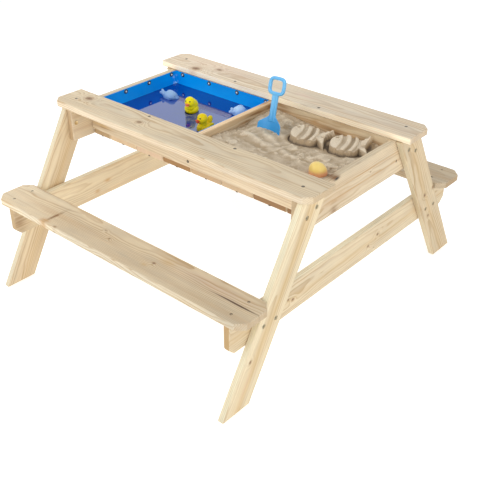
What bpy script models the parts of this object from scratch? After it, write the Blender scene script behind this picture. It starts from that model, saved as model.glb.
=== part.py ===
"""Children's picnic table with a water basin and a sandbox under the opening in its top.

Metres, +Z up. X runs along the table top, +Y points to the rear, and the origin lies on the
ground at the middle of the table. The basin is filled, and the toys lie in the water and the sand.
"""
import math

import bmesh
import bpy
from mathutils import Matrix, Vector

# Clearance between touching pieces, and how far a cutter runs past the face it cuts
GAP = 0.0003
OVERRUN = 0.003

# Two top boards with an opening between them
TOP_LENGTH = 0.900
TOP_WIDTH = 0.1037
TOP_THICK = 0.018
TOP_HEIGHT = 0.490
TOP_OPENING = 0.324
TOP_CORNER = 0.0195
WOOD_EDGE = 0.002

# Tray under the top: end boards, aprons, divider and slatted floor
TOP_OVERHANG = 0.059
END_THICK = 0.018
END_HEIGHT = 0.100
END_REACH = 0.0015
APRON_THICK = 0.018
APRON_SETBACK = 0.0025
DIVIDER_THICK = 0.018
DIVIDER_OFFSET = -0.004
SLAT_THICK = 0.018
SLAT_PITCH = 0.107
SLAT_JOINT = 0.0015
SLAT_INSET = 0.0065
END_SLAT_SHARE = 0.3

# Leaning legs on the outside of the end boards, and the cross bearers that carry the seats
LEG_WIDTH = 0.0805
LEG_THICK = 0.018
LEG_LEAN = math.radians(30.54)
LEG_LAP = 0.0052
BEARER_LENGTH = 0.969
BEARER_HEIGHT = 0.090
BEARER_THICK = 0.018
BEARER_CORNER = 0.019
BEARER_EDGE = 0.0045
BEARER_EDGE_STEPS = 2

# Seat boards
SEAT_OVERREACH = 0.0015
SEAT_WIDTH = 0.112
SEAT_THICK = 0.019
SEAT_HEIGHT = 0.2708
SEAT_CORNER = 0.023

# Leg bolts with sleeve nuts, both sunk into the wood
BOLT_SIDES = 8
BOLT_HEAD_RADIUS = 0.0062
BOLT_HEAD_HEIGHT = 0.003
BOLT_SHANK_RADIUS = 0.003
BOLT_SOCKET_RADIUS = 0.0032
BOLT_SOCKET_DEPTH = 0.002
BOLT_SINK = 0.0012
NUT_RADIUS = 0.0062
NUT_HEIGHT = 0.007

# Places of the leg bolts: below the top of the board behind, and off the middle line of the leg
TRAY_BOLT_DROPS = (0.0327, 0.0472)
TRAY_BOLT_OFFSETS = (-0.0213, 0.0057)
BEARER_BOLT_DROP = 0.049
BEARER_BOLT_OFFSETS = (-0.0213, 0.0227)

# Countersunk wood screws
SCREW_SIDES = 8
HIDDEN_SCREW_SIDES = 6
SCREW_HEAD_RADIUS = 0.0038
SCREW_HEAD_HEIGHT = 0.003
SCREW_SHANK_RADIUS = 0.0018
SCREW_LENGTH = 0.038
SCREW_SINK = 0.0008
TOP_END_SCREW_SHARE = 0.569
TOP_APRON_SCREW_SPAN = 0.306
SEAT_SCREW_SHARES = (0.238, 0.774)
APRON_SCREW_SHARES = (0.26, 0.75)
DIVIDER_SCREW_SHARES = (0.324, 0.785)

# Sheet liner of the basin, its short screws and cup washers
LINER_WALL = 0.0015
LINER_CORNER = 0.006
LINER_CORNER_STEPS = 3
LINER_RIM_DROP = 0.0012
LINER_SCREW_DROP = 0.009
LINER_SCREW_LENGTH = 0.012
LINER_LENGTH_SHARES = (0.082, 0.378, 0.675, 0.966)
LINER_WIDTH_SHARES = (-0.863, -0.286, 0.286, 0.863)
WASHER_SIDES = 6
WASHER_RADIUS = 0.0046
WASHER_HEIGHT = 0.0016
LINER_HEAD_RADIUS = 0.0028
LINER_SHANK_RADIUS = 0.0015

# Water and sand fillings, measured up from the slatted floor
WATER_DEPTH = 0.0403
SAND_DEPTH = 0.0618
SAND_COLUMNS = 16
SAND_ROWS = 14
RIPPLE_HEIGHT = 0.0008
RIPPLE_LENGTH = 0.055
RIPPLE_SLANT_SHARES = (0.5, 0.33)
# Mounds and hollows: place along and across the sandbox, spread by its width, height by the depth
SAND_FORM_SHARES = (
    (0.30, 1.05, 0.17, -0.16),
    (0.50, 1.05, 0.17, -0.27),
    (0.70, 1.05, 0.17, -0.16),
    (0.97, 0.90, 0.12, -0.16),
    (0.52, 0.72, 0.22, -0.16),
    (0.84, 0.74, 0.20, -0.16),
    (-0.02, 0.58, 0.12, -0.17),
    (0.26, 0.79, 0.08, -0.14),
    (0.30, 0.62, 0.10, 0.06),
    (0.10, 0.20, 0.20, 0.05),
    (0.60, 0.15, 0.22, -0.06),
    (0.92, 0.25, 0.24, -0.06),
)

# Two fish pressed out of wet sand: place along and across the sandbox, heading
SAND_FISH_PLACE_SHARES = ((0.495, 0.426), (0.789, 0.536))
SAND_FISH_HEADINGS = (math.radians(18), math.radians(27))
SAND_FISH_LENGTH_SHARE = 0.2335
SAND_FISH_WIDTH_SHARE = 0.2436
SAND_FISH_HEIGHT = 0.0275
SAND_FISH_ROOT = 0.010
SAND_FISH_SIDES = 16
SAND_FISH_PROFILE_SHARES = ((0.0, 1.0), (0.55, 0.97), (0.86, 0.86), (1.0, 0.62))
SAND_TAIL_LENGTH_SHARE = 0.333
SAND_TAIL_LAP_SHARE = 0.35
SAND_TAIL_SHARES = ((0.0, 0.22), (1.0, 0.56), (0.72, 0.0), (1.0, -0.56), (0.0, -0.22))
RIB_SHARES = (0.12, 0.53)
RIB_BOW_SHARE = 0.16
RIB_SPAN_SHARE = 0.66
RIB_RADIUS = 0.0045
RIB_POINTS = 5

# Toy spade, standing in the sand and leaning to the rear, with a small tilt to the left
SPADE_PLACE_SHARES = (0.2255, 0.2272)
SPADE_LEAN = math.radians(17)
SPADE_TILT = math.radians(2.8)
SPADE_BURIED = 0.026
BLADE_LENGTH = 0.068
BLADE_WIDTH = 0.077
BLADE_THICK = 0.0022
BLADE_BOW = 0.011
BLADE_COLUMNS = 8
BLADE_ROWS = 6
BLADE_TIP_SHARE = 0.30
BLADE_SHOULDER_SHARE = 0.45
SHAFT_WIDTH = 0.020
SHAFT_THICK = 0.009
SHAFT_LENGTH = 0.0762
SHAFT_LAP = 0.016
SHAFT_EDGE = 0.003
LOOP_WIDTH = 0.056
LOOP_HEIGHT = 0.050
LOOP_RADIUS = 0.0048
LOOP_POINTS = 16
LOOP_RESOLUTION = 2
LOOP_POWER = 4.0

# Beach mould: a small domed cup, set down upside down in the sand
MOULD_PLACE_SHARES = (0.8640, -0.4695)
MOULD_RADIUS = 0.0235
MOULD_HEIGHT = 0.030
MOULD_WALL = 0.0016
MOULD_SEAT = 0.001
MOULD_SIDES = 14
MOULD_PROFILE_SHARES = ((0.0, 1.0), (0.42, 0.96), (0.72, 0.82), (0.90, 0.58), (0.98, 0.28), (1.0, 0.0))

# Ducks: place of the middle along and across the basin, heading, height of the middle over the water
DUCK_PLACE_SHARES = ((0.524, 0.158), (0.825, -0.231))
DUCK_HEADINGS = (math.radians(-60), math.radians(-88))
DUCK_FLOAT = 0.006
DUCK_BODY = (0.0265, 0.0200, 0.0165)
DUCK_HEAD = (0.0155, 0.0145, 0.0150)
DUCK_HEAD_PLACE = (0.0125, 0.0, 0.0290)
DUCK_BEAK = (0.0090, 0.0070, 0.0032)
DUCK_BEAK_PLACE = (0.0290, 0.0, 0.0265)
DUCK_TAIL = (0.0110, 0.0095, 0.0060)
DUCK_TAIL_PLACE = (-0.0255, 0.0, 0.0110)
DUCK_TAIL_RISE = math.radians(42)
DUCK_WING = (0.0150, 0.0050, 0.0085)
DUCK_WING_PLACE = (-0.0050, 0.0175, 0.0050)

# Toy fish: place of the middle along and across the basin, heading, height of the middle over the water
FISH_PLACE_SHARES = ((0.1984, 0.402), (0.816, 0.688))
FISH_HEADINGS = (math.radians(18), math.radians(78))
FISH_FLOAT = 0.003
FISH_BODY = (0.0265, 0.0185, 0.0175)
FISH_TAIL = (0.0125, 0.0030, 0.0060)
FISH_TAIL_ROOT = (-0.0235, 0.0, 0.0040)
FISH_TAIL_REACH_SHARE = 0.84
FISH_TAIL_RISES = (math.radians(60), math.radians(5))
FISH_FIN = (0.0115, 0.0025, 0.0070)
FISH_FIN_PLACE = (-0.0020, 0.0, 0.0155)

# Facets of the rounded toy forms: around, and from pole to pole
BODY_FACETS = (12, 7)
HEAD_FACETS = (8, 6)
SMALL_FACETS = (8, 4)

# Looks: base colour, roughness, metallic value, transmission
PINE_LOOK = ((0.78, 0.64, 0.43), 0.6, 0.0, 0.0)
STEEL_LOOK = ((0.55, 0.55, 0.56), 0.35, 1.0, 0.0)
LINER_LOOK = ((0.02, 0.23, 0.72), 0.35, 0.0, 0.0)
WATER_LOOK = ((0.25, 0.42, 0.75), 0.05, 0.0, 0.6)
SAND_LOOK = ((0.62, 0.53, 0.40), 0.95, 0.0, 0.0)
SPADE_LOOK = ((0.12, 0.45, 0.85), 0.35, 0.0, 0.0)
DUCK_LOOK = ((0.90, 0.72, 0.02), 0.35, 0.0, 0.0)
FISH_LOOK = ((0.52, 0.66, 0.88), 0.35, 0.0, 0.0)
MOULD_LOOK = ((0.95, 0.55, 0.18), 0.4, 0.0, 0.0)

# Levels and faces that follow from the sizes above
TRAY_SPAN = TOP_LENGTH - 2 * TOP_OVERHANG
SEAT_LENGTH = TOP_LENGTH + 2 * SEAT_OVERREACH
TOP_UNDERSIDE = TOP_HEIGHT - TOP_THICK
FRAME_TOP = TOP_UNDERSIDE - GAP
TRAY_BOTTOM = FRAME_TOP - END_HEIGHT
FLOOR_TOP = TRAY_BOTTOM + SLAT_THICK
APRON_BOTTOM = FLOOR_TOP + GAP
APRON_HEIGHT = FRAME_TOP - APRON_BOTTOM
APRON_INNER = TOP_OPENING / 2 + APRON_SETBACK
APRON_OUTER = APRON_INNER + APRON_THICK
APRON_MIDDLE = APRON_INNER + APRON_THICK / 2
END_INNER = TRAY_SPAN / 2
END_OUTER = END_INNER + END_THICK
END_MIDDLE = END_INNER + END_THICK / 2
DIVIDER_LEFT = DIVIDER_OFFSET - DIVIDER_THICK / 2
DIVIDER_RIGHT = DIVIDER_OFFSET + DIVIDER_THICK / 2
LEG_INNER_FACE = END_OUTER + GAP
LEG_OUTER_FACE = LEG_INNER_FACE + LEG_THICK
LEG_SLOPE = math.tan(LEG_LEAN)
LEG_SECTION = LEG_WIDTH / math.cos(LEG_LEAN)
LEG_TOP_INNER = TOP_OPENING / 2 - LEG_LAP
LEG_TOP_OUTER = LEG_TOP_INNER + LEG_SECTION
END_HALF_LENGTH = LEG_TOP_OUTER + END_REACH
SEAT_UNDERSIDE = SEAT_HEIGHT - SEAT_THICK
BEARER_TOP = SEAT_UNDERSIDE - GAP
BEARER_MIDDLE = END_OUTER - BEARER_THICK / 2
WATER_LEVEL = FLOOR_TOP + WATER_DEPTH
SAND_LEVEL = FLOOR_TOP + SAND_DEPTH
BOX_HALF_WIDTH = APRON_INNER - GAP
SANDBOX_LEFT = DIVIDER_RIGHT + GAP
SANDBOX_RIGHT = END_INNER - GAP
SAND_FISH_LENGTH = SAND_FISH_LENGTH_SHARE * (SANDBOX_RIGHT - SANDBOX_LEFT)
SAND_FISH_WIDTH = SAND_FISH_WIDTH_SHARE * 2 * BOX_HALF_WIDTH
SAND_TAIL_LENGTH = SAND_TAIL_LENGTH_SHARE * SAND_FISH_LENGTH
WELD = GAP / 10
FLAT = math.radians(0.5)
SHARP = math.radians(35)

SIDES = (-1, 1)
SIDE_NAMES = {("x", -1): "left", ("x", 1): "right", ("y", -1): "front", ("y", 1): "rear"}


def clear_scene():
    """Empty the scene of objects"""
    for thing in list(bpy.data.objects):
        bpy.data.objects.remove(thing, do_unlink=True)


def new_collection(name):
    """Collection linked to the scene"""
    group = bpy.data.collections.new(name)
    bpy.context.scene.collection.children.link(group)
    return group


def material(name, look):
    """Principled material with one colour"""
    colour, roughness, metallic, transmission = look
    made = bpy.data.materials.new(name)
    made.use_nodes = True
    shader = made.node_tree.nodes["Principled BSDF"]
    shader.inputs["Base Color"].default_value = (*colour, 1.0)
    shader.inputs["Roughness"].default_value = roughness
    shader.inputs["Metallic"].default_value = metallic
    shader.inputs["Transmission Weight"].default_value = transmission
    made.diffuse_color = (*colour, 1.0)
    return made


clear_scene()
PARTS = new_collection("picnic_table_with_sandbox")
CUTTERS = new_collection("cutters")


def add_object(name, mesh, look, group=None):
    """Object in a collection, with its own material when it is a part"""
    thing = bpy.data.objects.new(name, mesh)
    (group or PARTS).objects.link(thing)
    if look:
        thing.data.materials.append(material(name, look))
    return thing


def add_cutter(name, mesh):
    """Hidden object that cuts or joins others"""
    thing = add_object(name, mesh, None, CUTTERS)
    thing.hide_render = True
    thing.display_type = "WIRE"
    return thing


def finish_mesh(bm, name):
    """Mesh with its faces pointing out"""
    bmesh.ops.recalc_face_normals(bm, faces=bm.faces)
    mesh = bpy.data.meshes.new(name)
    bm.to_mesh(mesh)
    bm.free()
    return mesh


def evaluated_mesh(thing):
    """Mesh of an object with its modifiers applied"""
    graph = bpy.context.evaluated_depsgraph_get()
    return bpy.data.meshes.new_from_object(thing.evaluated_get(graph))


def smooth(mesh):
    """Round faces shaded smooth, with the sharp edges kept"""
    mesh.shade_smooth()
    mesh.set_sharp_from_angle(angle=SHARP)
    return mesh


def ease_edges(thing, width, steps=1):
    """Bevel on the sharp edges of a piece"""
    bevel = thing.modifiers.new("eased_edges", "BEVEL")
    bevel.width = width
    bevel.segments = steps
    bevel.limit_method = "ANGLE"
    bevel.angle_limit = SHARP
    return thing


def cut(thing, cutters, operation="DIFFERENCE"):
    """Cut a piece with others, or join them to it"""
    for cutter in cutters:
        step = thing.modifiers.new(cutter.name, "BOOLEAN")
        step.operation = operation
        step.solver = "EXACT"
        step.object = cutter
    return thing


def box_mesh(name, low, high):
    """Box between two corners"""
    low, high = Vector(low), Vector(high)
    bm = bmesh.new()
    bmesh.ops.create_cube(bm, size=1, matrix=Matrix.LocRotScale((low + high) / 2, None, high - low))
    return finish_mesh(bm, name)


def board(name, low, high, look, edge=WOOD_EDGE):
    """Square-ended board between two corners"""
    low, high = Vector(low), Vector(high)
    half = (high - low) / 2
    piece = add_object(name, box_mesh(name, -half, half), look)
    piece.location = low + half
    return ease_edges(piece, edge)


def plate(name, points, thick, look, frame):
    """Board sawn to an outline, in a frame whose XY plane is its middle"""
    piece = add_object(name, outline_mesh(name, points, thick), look)
    piece.matrix_world = frame
    return piece


def outline_mesh(name, points, thick):
    """Flat outline in its XY plane, made into a plate about that plane"""
    curve = bpy.data.curves.new(name, "CURVE")
    curve.dimensions = "2D"
    curve.fill_mode = "BOTH"
    curve.extrude = thick / 2
    spline = curve.splines.new("POLY")
    spline.points.add(len(points) - 1)
    for point, (across, along) in zip(spline.points, points):
        point.co = (across, along, 0, 1)
    spline.use_cyclic_u = True
    holder = add_cutter(name, curve)
    bpy.context.view_layer.update()
    bm = bmesh.new()
    bm.from_mesh(evaluated_mesh(holder))
    bpy.data.objects.remove(holder, do_unlink=True)
    bmesh.ops.remove_doubles(bm, verts=bm.verts, dist=WELD)
    bmesh.ops.dissolve_limit(bm, angle_limit=FLAT, verts=bm.verts, edges=bm.edges)
    return finish_mesh(bm, name)


def placed_mesh(name, mesh, frames):
    """Copies of a mesh, one for each frame, in one mesh"""
    bm = bmesh.new()
    for frame in frames:
        copy = mesh.copy()
        copy.transform(frame)
        bm.from_mesh(copy)
    return finish_mesh(bm, name)


def turned_mesh(name, profile, sides, closed=False):
    """Profile of (radius, height) points turned about Z"""
    bm = bmesh.new()
    points = [bm.verts.new((radius, 0, height)) for radius, height in profile]
    for first, second in zip(points, points[1:]):
        bm.edges.new((first, second))
    if closed:
        bm.edges.new((points[-1], points[0]))
    mesh = bpy.data.meshes.new(name)
    bm.to_mesh(mesh)
    bm.free()
    holder = add_cutter(name, mesh)
    screw = holder.modifiers.new("turn", "SCREW")
    screw.steps = sides
    screw.render_steps = sides
    screw.use_merge_vertices = True
    screw.merge_threshold = WELD
    bpy.context.view_layer.update()
    turned = evaluated_mesh(holder)
    bpy.data.objects.remove(holder, do_unlink=True)
    bm = bmesh.new()
    bm.from_mesh(turned)
    return smooth(finish_mesh(bm, name))


def tube_mesh(name, points, radius, resolution, cyclic=False):
    """Tube along points, with filled ends unless it is a loop"""
    curve = bpy.data.curves.new(name, "CURVE")
    curve.dimensions = "3D"
    curve.bevel_depth = radius
    curve.bevel_resolution = resolution
    curve.use_fill_caps = not cyclic
    spline = curve.splines.new("POLY")
    spline.points.add(len(points) - 1)
    for point, place in zip(spline.points, points):
        point.co = (*place, 1)
    spline.use_cyclic_u = cyclic
    holder = add_cutter(name, curve)
    bpy.context.view_layer.update()
    bm = bmesh.new()
    bm.from_mesh(evaluated_mesh(holder))
    bpy.data.objects.remove(holder, do_unlink=True)
    bmesh.ops.remove_doubles(bm, verts=bm.verts, dist=WELD)
    return smooth(finish_mesh(bm, name))


def ellipsoid_mesh(name, half_axes, place, facets, grow=0.0, turn=None):
    """Rounded form with three half axes, all of them larger by the growth"""
    around, rows = facets
    bm = bmesh.new()
    bmesh.ops.create_uvsphere(bm, u_segments=around, v_segments=rows, radius=1)
    scale = Vector(half_axes) + Vector((grow, grow, grow))
    bmesh.ops.transform(bm, verts=bm.verts, matrix=Matrix.LocRotScale(Vector(place), turn, scale))
    return smooth(finish_mesh(bm, name))


def aimed(place, direction):
    """Frame at a place with its Z axis along a direction"""
    turn = Vector(direction).to_track_quat("Z", "Y")
    return Matrix.LocRotScale(Vector(place), turn, None)


def leg_middle(level):
    """Distance of the middle line of a leg from the table's middle plane, at a height"""
    return LEG_TOP_INNER + LEG_SECTION / 2 + LEG_SLOPE * (FRAME_TOP - level)


def chamfered_outline(low, high, corner, corners):
    """Rectangle, counterclockwise, with the corners cut off that are listed as (x sign, y sign)"""
    points = []
    for x_sign, y_sign in ((-1, -1), (1, -1), (1, 1), (-1, 1)):
        x = high[0] if x_sign > 0 else low[0]
        y = high[1] if y_sign > 0 else low[1]
        if (x_sign, y_sign) not in corners:
            points.append((x, y))
            continue
        on_side = (x, y - y_sign * corner)
        on_end = (x - x_sign * corner, y)
        points += [on_side, on_end] if x_sign == y_sign else [on_end, on_side]
    return points


def make_top_boards():
    """Two boards with their outer corners cut off"""
    boards = []
    for side in SIDES:
        inner = TOP_OPENING / 2
        outer = inner + TOP_WIDTH
        low = (-TOP_LENGTH / 2, min(side * inner, side * outer))
        high = (TOP_LENGTH / 2, max(side * inner, side * outer))
        points = chamfered_outline(low, high, TOP_CORNER, ((-1, side), (1, side)))
        name = "top_board_" + SIDE_NAMES["y", side]
        frame = Matrix.Translation((0, 0, TOP_HEIGHT - TOP_THICK / 2))
        boards.append(ease_edges(plate(name, points, TOP_THICK, PINE_LOOK, frame), WOOD_EDGE))
    return boards


def make_end_boards():
    """Upright boards across the two ends of the tray"""
    boards = []
    for side in SIDES:
        faces = sorted((side * END_INNER, side * END_OUTER))
        low = (faces[0], -END_HALF_LENGTH, TRAY_BOTTOM)
        high = (faces[1], END_HALF_LENGTH, FRAME_TOP)
        boards.append(board("end_board_" + SIDE_NAMES["x", side], low, high, PINE_LOOK))
    return boards


def make_aprons():
    """Long sides of the tray, between the end boards and on the floor slats"""
    boards = []
    for side in SIDES:
        faces = sorted((side * APRON_INNER, side * APRON_OUTER))
        low = (-END_INNER + GAP, faces[0], APRON_BOTTOM)
        high = (END_INNER - GAP, faces[1], FRAME_TOP)
        boards.append(board("apron_" + SIDE_NAMES["y", side], low, high, PINE_LOOK))
    return boards


def make_divider():
    """Board between the basin and the sandbox"""
    low = (DIVIDER_LEFT, -APRON_INNER + GAP, APRON_BOTTOM)
    high = (DIVIDER_RIGHT, APRON_INNER - GAP, FRAME_TOP)
    return board("divider_board", low, high, PINE_LOOK)


def slat_joints():
    """Places of the joints between floor slats, ends included"""
    half_count = math.ceil(END_INNER / SLAT_PITCH - 1 - END_SLAT_SHARE)
    inner = [step * SLAT_PITCH for step in range(-half_count, half_count + 1)]
    return [-END_INNER] + inner + [END_INNER]


def make_floor_slats():
    """Floor of the tray: slats across it, under the aprons"""
    joints = slat_joints()
    half = APRON_OUTER - SLAT_INSET
    slats = []
    for number, (left, right) in enumerate(zip(joints, joints[1:]), start=1):
        low = (left + SLAT_JOINT / 2, -half, TRAY_BOTTOM)
        high = (right - SLAT_JOINT / 2, half, FLOOR_TOP)
        slats.append(board(f"floor_slat_{number}", low, high, PINE_LOOK))
    return slats


def upright_frame(place):
    """Frame whose XY plane is the world's YZ plane, at a place along X"""
    turn = Matrix(((0, 0, 1), (1, 0, 0), (0, 1, 0)))
    return Matrix.Translation((place, 0, 0)) @ turn.to_4x4()


def make_legs():
    """Four legs, cut level at the ground and under the top boards"""
    legs = []
    spread = LEG_SLOPE * FRAME_TOP
    for side_x in SIDES:
        for side_y in SIDES:
            points = [
                (side_y * LEG_TOP_INNER, FRAME_TOP),
                (side_y * LEG_TOP_OUTER, FRAME_TOP),
                (side_y * (LEG_TOP_OUTER + spread), 0),
                (side_y * (LEG_TOP_INNER + spread), 0),
            ]
            name = f"leg_{SIDE_NAMES['y', side_y]}_{SIDE_NAMES['x', side_x]}"
            frame = upright_frame(side_x * (LEG_INNER_FACE + LEG_THICK / 2))
            legs.append(ease_edges(plate(name, points, LEG_THICK, PINE_LOOK, frame), WOOD_EDGE))
    return legs


def make_bearers():
    """Cross bearers under the seats, with their lower ends cut off"""
    bearers = []
    for side in SIDES:
        low = (-BEARER_LENGTH / 2, BEARER_TOP - BEARER_HEIGHT)
        high = (BEARER_LENGTH / 2, BEARER_TOP)
        points = chamfered_outline(low, high, BEARER_CORNER, ((-1, -1), (1, -1)))
        name = "bearer_" + SIDE_NAMES["x", side]
        bearer = plate(name, points, BEARER_THICK, PINE_LOOK, upright_frame(side * BEARER_MIDDLE))
        bearers.append(ease_edges(bearer, BEARER_EDGE, BEARER_EDGE_STEPS))
    return bearers


def seat_inner_edge():
    """Distance of a seat's inner edge from the middle: against the outer edges of the legs"""
    return leg_middle(SEAT_UNDERSIDE) + LEG_SECTION / 2 + GAP


def make_seats():
    """Seat boards on the ends of the bearers, with all corners cut off"""
    seats = []
    inner = seat_inner_edge()
    for side in SIDES:
        edges = sorted((side * inner, side * (inner + SEAT_WIDTH)))
        low = (-SEAT_LENGTH / 2, edges[0])
        high = (SEAT_LENGTH / 2, edges[1])
        corners = ((-1, -1), (1, -1), (1, 1), (-1, 1))
        name = "seat_board_" + SIDE_NAMES["y", side]
        points = chamfered_outline(low, high, SEAT_CORNER, corners)
        frame = Matrix.Translation((0, 0, SEAT_HEIGHT - SEAT_THICK / 2))
        seats.append(ease_edges(plate(name, points, SEAT_THICK, PINE_LOOK, frame), WOOD_EDGE))
    return seats


def bolt_frames():
    """Outward frames of the leg bolts, on the outer faces of the legs"""
    places = [
        (leg_middle(FRAME_TOP - drop) + offset, FRAME_TOP - drop)
        for drop, offset in zip(TRAY_BOLT_DROPS, TRAY_BOLT_OFFSETS)
    ]
    level = BEARER_TOP - BEARER_BOLT_DROP
    places += [(leg_middle(level) + offset, level) for offset in BEARER_BOLT_OFFSETS]
    return [
        aimed((side_x * LEG_OUTER_FACE, side_y * across, height), (side_x, 0, 0))
        for side_x in SIDES
        for side_y in SIDES
        for across, height in places
    ]


def add_copies(name, mesh, frames, look):
    """One numbered object for each frame, all with the same mesh"""
    mesh.materials.append(material(name, look))
    for number, frame in enumerate(frames, start=1):
        add_object(f"{name}_{number}", mesh, None).matrix_world = frame


def make_leg_bolts():
    """Bolts, each with its sleeve nut; the stepped holes for them are returned"""
    stack = LEG_THICK + GAP + END_THICK
    nut_top = stack - BOLT_SINK - NUT_HEIGHT
    head_under = BOLT_SINK + BOLT_HEAD_HEIGHT
    bolt = turned_mesh("leg_bolt", (
        (0, -BOLT_SINK - BOLT_SOCKET_DEPTH),
        (BOLT_SOCKET_RADIUS, -BOLT_SINK - BOLT_SOCKET_DEPTH),
        (BOLT_SOCKET_RADIUS, -BOLT_SINK),
        (BOLT_HEAD_RADIUS, -BOLT_SINK),
        (BOLT_HEAD_RADIUS, -head_under),
        (BOLT_SHANK_RADIUS, -head_under),
        (BOLT_SHANK_RADIUS, -nut_top),
        (NUT_RADIUS, -nut_top),
        (NUT_RADIUS, -stack + BOLT_SINK),
        (0, -stack + BOLT_SINK),
    ), BOLT_SIDES)
    hole = turned_mesh("hole", (
        (0, OVERRUN),
        (BOLT_HEAD_RADIUS + GAP, OVERRUN),
        (BOLT_HEAD_RADIUS + GAP, -head_under - GAP),
        (BOLT_SHANK_RADIUS + GAP, -head_under - GAP),
        (BOLT_SHANK_RADIUS + GAP, -nut_top + GAP),
        (NUT_RADIUS + GAP, -nut_top + GAP),
        (NUT_RADIUS + GAP, -stack - OVERRUN),
        (0, -stack - OVERRUN),
    ), BOLT_SIDES)
    frames = bolt_frames()
    add_copies("leg_bolt", bolt, frames, STEEL_LOOK)
    return add_cutter("bolt_holes", placed_mesh("bolt_holes", hole, frames))


def make_screws(name, frames, sides):
    """Countersunk screws, flush at the origin of each frame; their holes are returned"""
    screw = turned_mesh(name, (
        (0, 0),
        (SCREW_HEAD_RADIUS, 0),
        (SCREW_SHANK_RADIUS, -SCREW_HEAD_HEIGHT),
        (SCREW_SHANK_RADIUS, -SCREW_LENGTH),
        (0, -SCREW_LENGTH),
    ), sides)
    hole = turned_mesh(name, (
        (0, OVERRUN),
        (SCREW_HEAD_RADIUS + GAP, OVERRUN),
        (SCREW_HEAD_RADIUS + GAP, -GAP),
        (SCREW_SHANK_RADIUS + GAP, -SCREW_HEAD_HEIGHT - GAP),
        (SCREW_SHANK_RADIUS + GAP, -SCREW_LENGTH - GAP),
        (0, -SCREW_LENGTH - GAP),
    ), sides)
    add_copies(name, screw, frames, STEEL_LOOK)
    return add_cutter(name + "_holes", placed_mesh(name + "_holes", hole, frames))


def fuse_screws(name, frames, carriers, crossed):
    """Screws in one with the boards that carry them: sunk heads, and shanks into the crossed boards"""
    sinks = turned_mesh(name, (
        (0, OVERRUN),
        (SCREW_HEAD_RADIUS, OVERRUN),
        (SCREW_HEAD_RADIUS, -SCREW_SINK),
        (0, -SCREW_SINK),
    ), HIDDEN_SCREW_SIDES)
    shank = turned_mesh(name, (
        (0, -SCREW_SINK - SCREW_HEAD_HEIGHT),
        (SCREW_SHANK_RADIUS, -SCREW_SINK - SCREW_HEAD_HEIGHT),
        (SCREW_SHANK_RADIUS, -SCREW_LENGTH),
        (0, -SCREW_LENGTH),
    ), HIDDEN_SCREW_SIDES)
    hole = turned_mesh(name, (
        (0, -SCREW_SINK - SCREW_HEAD_HEIGHT),
        (SCREW_SHANK_RADIUS + GAP, -SCREW_SINK - SCREW_HEAD_HEIGHT),
        (SCREW_SHANK_RADIUS + GAP, -SCREW_LENGTH - GAP),
        (0, -SCREW_LENGTH - GAP),
    ), HIDDEN_SCREW_SIDES)
    sunk = add_cutter(name + "_sinks", placed_mesh(name + "_sinks", sinks, frames))
    holes = add_cutter(name + "_holes", placed_mesh(name + "_holes", hole, frames))
    for number, (carrier, own) in enumerate(carriers, start=1):
        shanks = f"{name}_shanks_{number}"
        cut(carrier, [sunk])
        cut(carrier, [add_cutter(shanks, placed_mesh(shanks, shank, own))], "UNION")
    for piece in crossed:
        cut(piece, [holes])


def both_ways(places, direction):
    """Frames at (x, y, z) places and at their mirror places in X and Y, all aimed alike"""
    return [
        aimed((side_x * x, side_y * y, z), direction)
        for side_x in SIDES
        for side_y in SIDES
        for x, y, z in places
    ]


def make_top_screws():
    """Screws down through the top boards into the end boards and the aprons"""
    over_end = (END_MIDDLE, TOP_OPENING / 2 + TOP_END_SCREW_SHARE * TOP_WIDTH, TOP_HEIGHT)
    over_apron = (TOP_APRON_SCREW_SPAN / 2, APRON_MIDDLE, TOP_HEIGHT)
    return make_screws("top_screw", both_ways((over_end, over_apron), (0, 0, 1)), SCREW_SIDES)


def fuse_seat_screws(seats, bearers):
    """Screws down through the seats into the bearers"""
    inner = seat_inner_edge()
    carriers = []
    for seat, side_y in zip(seats, SIDES):
        own = [
            aimed((side_x * BEARER_MIDDLE, side_y * (inner + share * SEAT_WIDTH), SEAT_HEIGHT), (0, 0, 1))
            for side_x in SIDES
            for share in SEAT_SCREW_SHARES
        ]
        carriers.append((seat, own))
    fuse_screws("seat_screw", [frame for _, own in carriers for frame in own], carriers, bearers)


def fuse_apron_screws(ends, aprons):
    """Screws through the end boards into the ends of the aprons"""
    levels = [FRAME_TOP - share * APRON_HEIGHT for share in APRON_SCREW_SHARES]
    carriers = []
    for end, side_x in zip(ends, SIDES):
        own = [
            aimed((side_x * END_OUTER, side_y * APRON_MIDDLE, level), (side_x, 0, 0))
            for side_y in SIDES
            for level in levels
        ]
        carriers.append((end, own))
    fuse_screws("apron_screw", [frame for _, own in carriers for frame in own], carriers, aprons)


def fuse_slat_screws(slats, aprons):
    """Screws up through the ends of the slats into the aprons"""
    joints = slat_joints()
    carriers = []
    for slat, left, right in zip(slats, joints, joints[1:]):
        middle = (left + right) / 2
        own = [aimed((middle, side * APRON_MIDDLE, TRAY_BOTTOM), (0, 0, -1)) for side in SIDES]
        carriers.append((slat, own))
    fuse_screws("slat_screw", [frame for _, own in carriers for frame in own], carriers, aprons)


def make_divider_screws():
    """Screws through the aprons into the ends of the divider"""
    levels = [FRAME_TOP - share * APRON_HEIGHT for share in DIVIDER_SCREW_SHARES]
    frames = [
        aimed((DIVIDER_OFFSET, side * APRON_OUTER, level), (0, side, 0))
        for side in SIDES
        for level in levels
    ]
    return make_screws("divider_screw", frames, HIDDEN_SCREW_SIDES)


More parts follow.
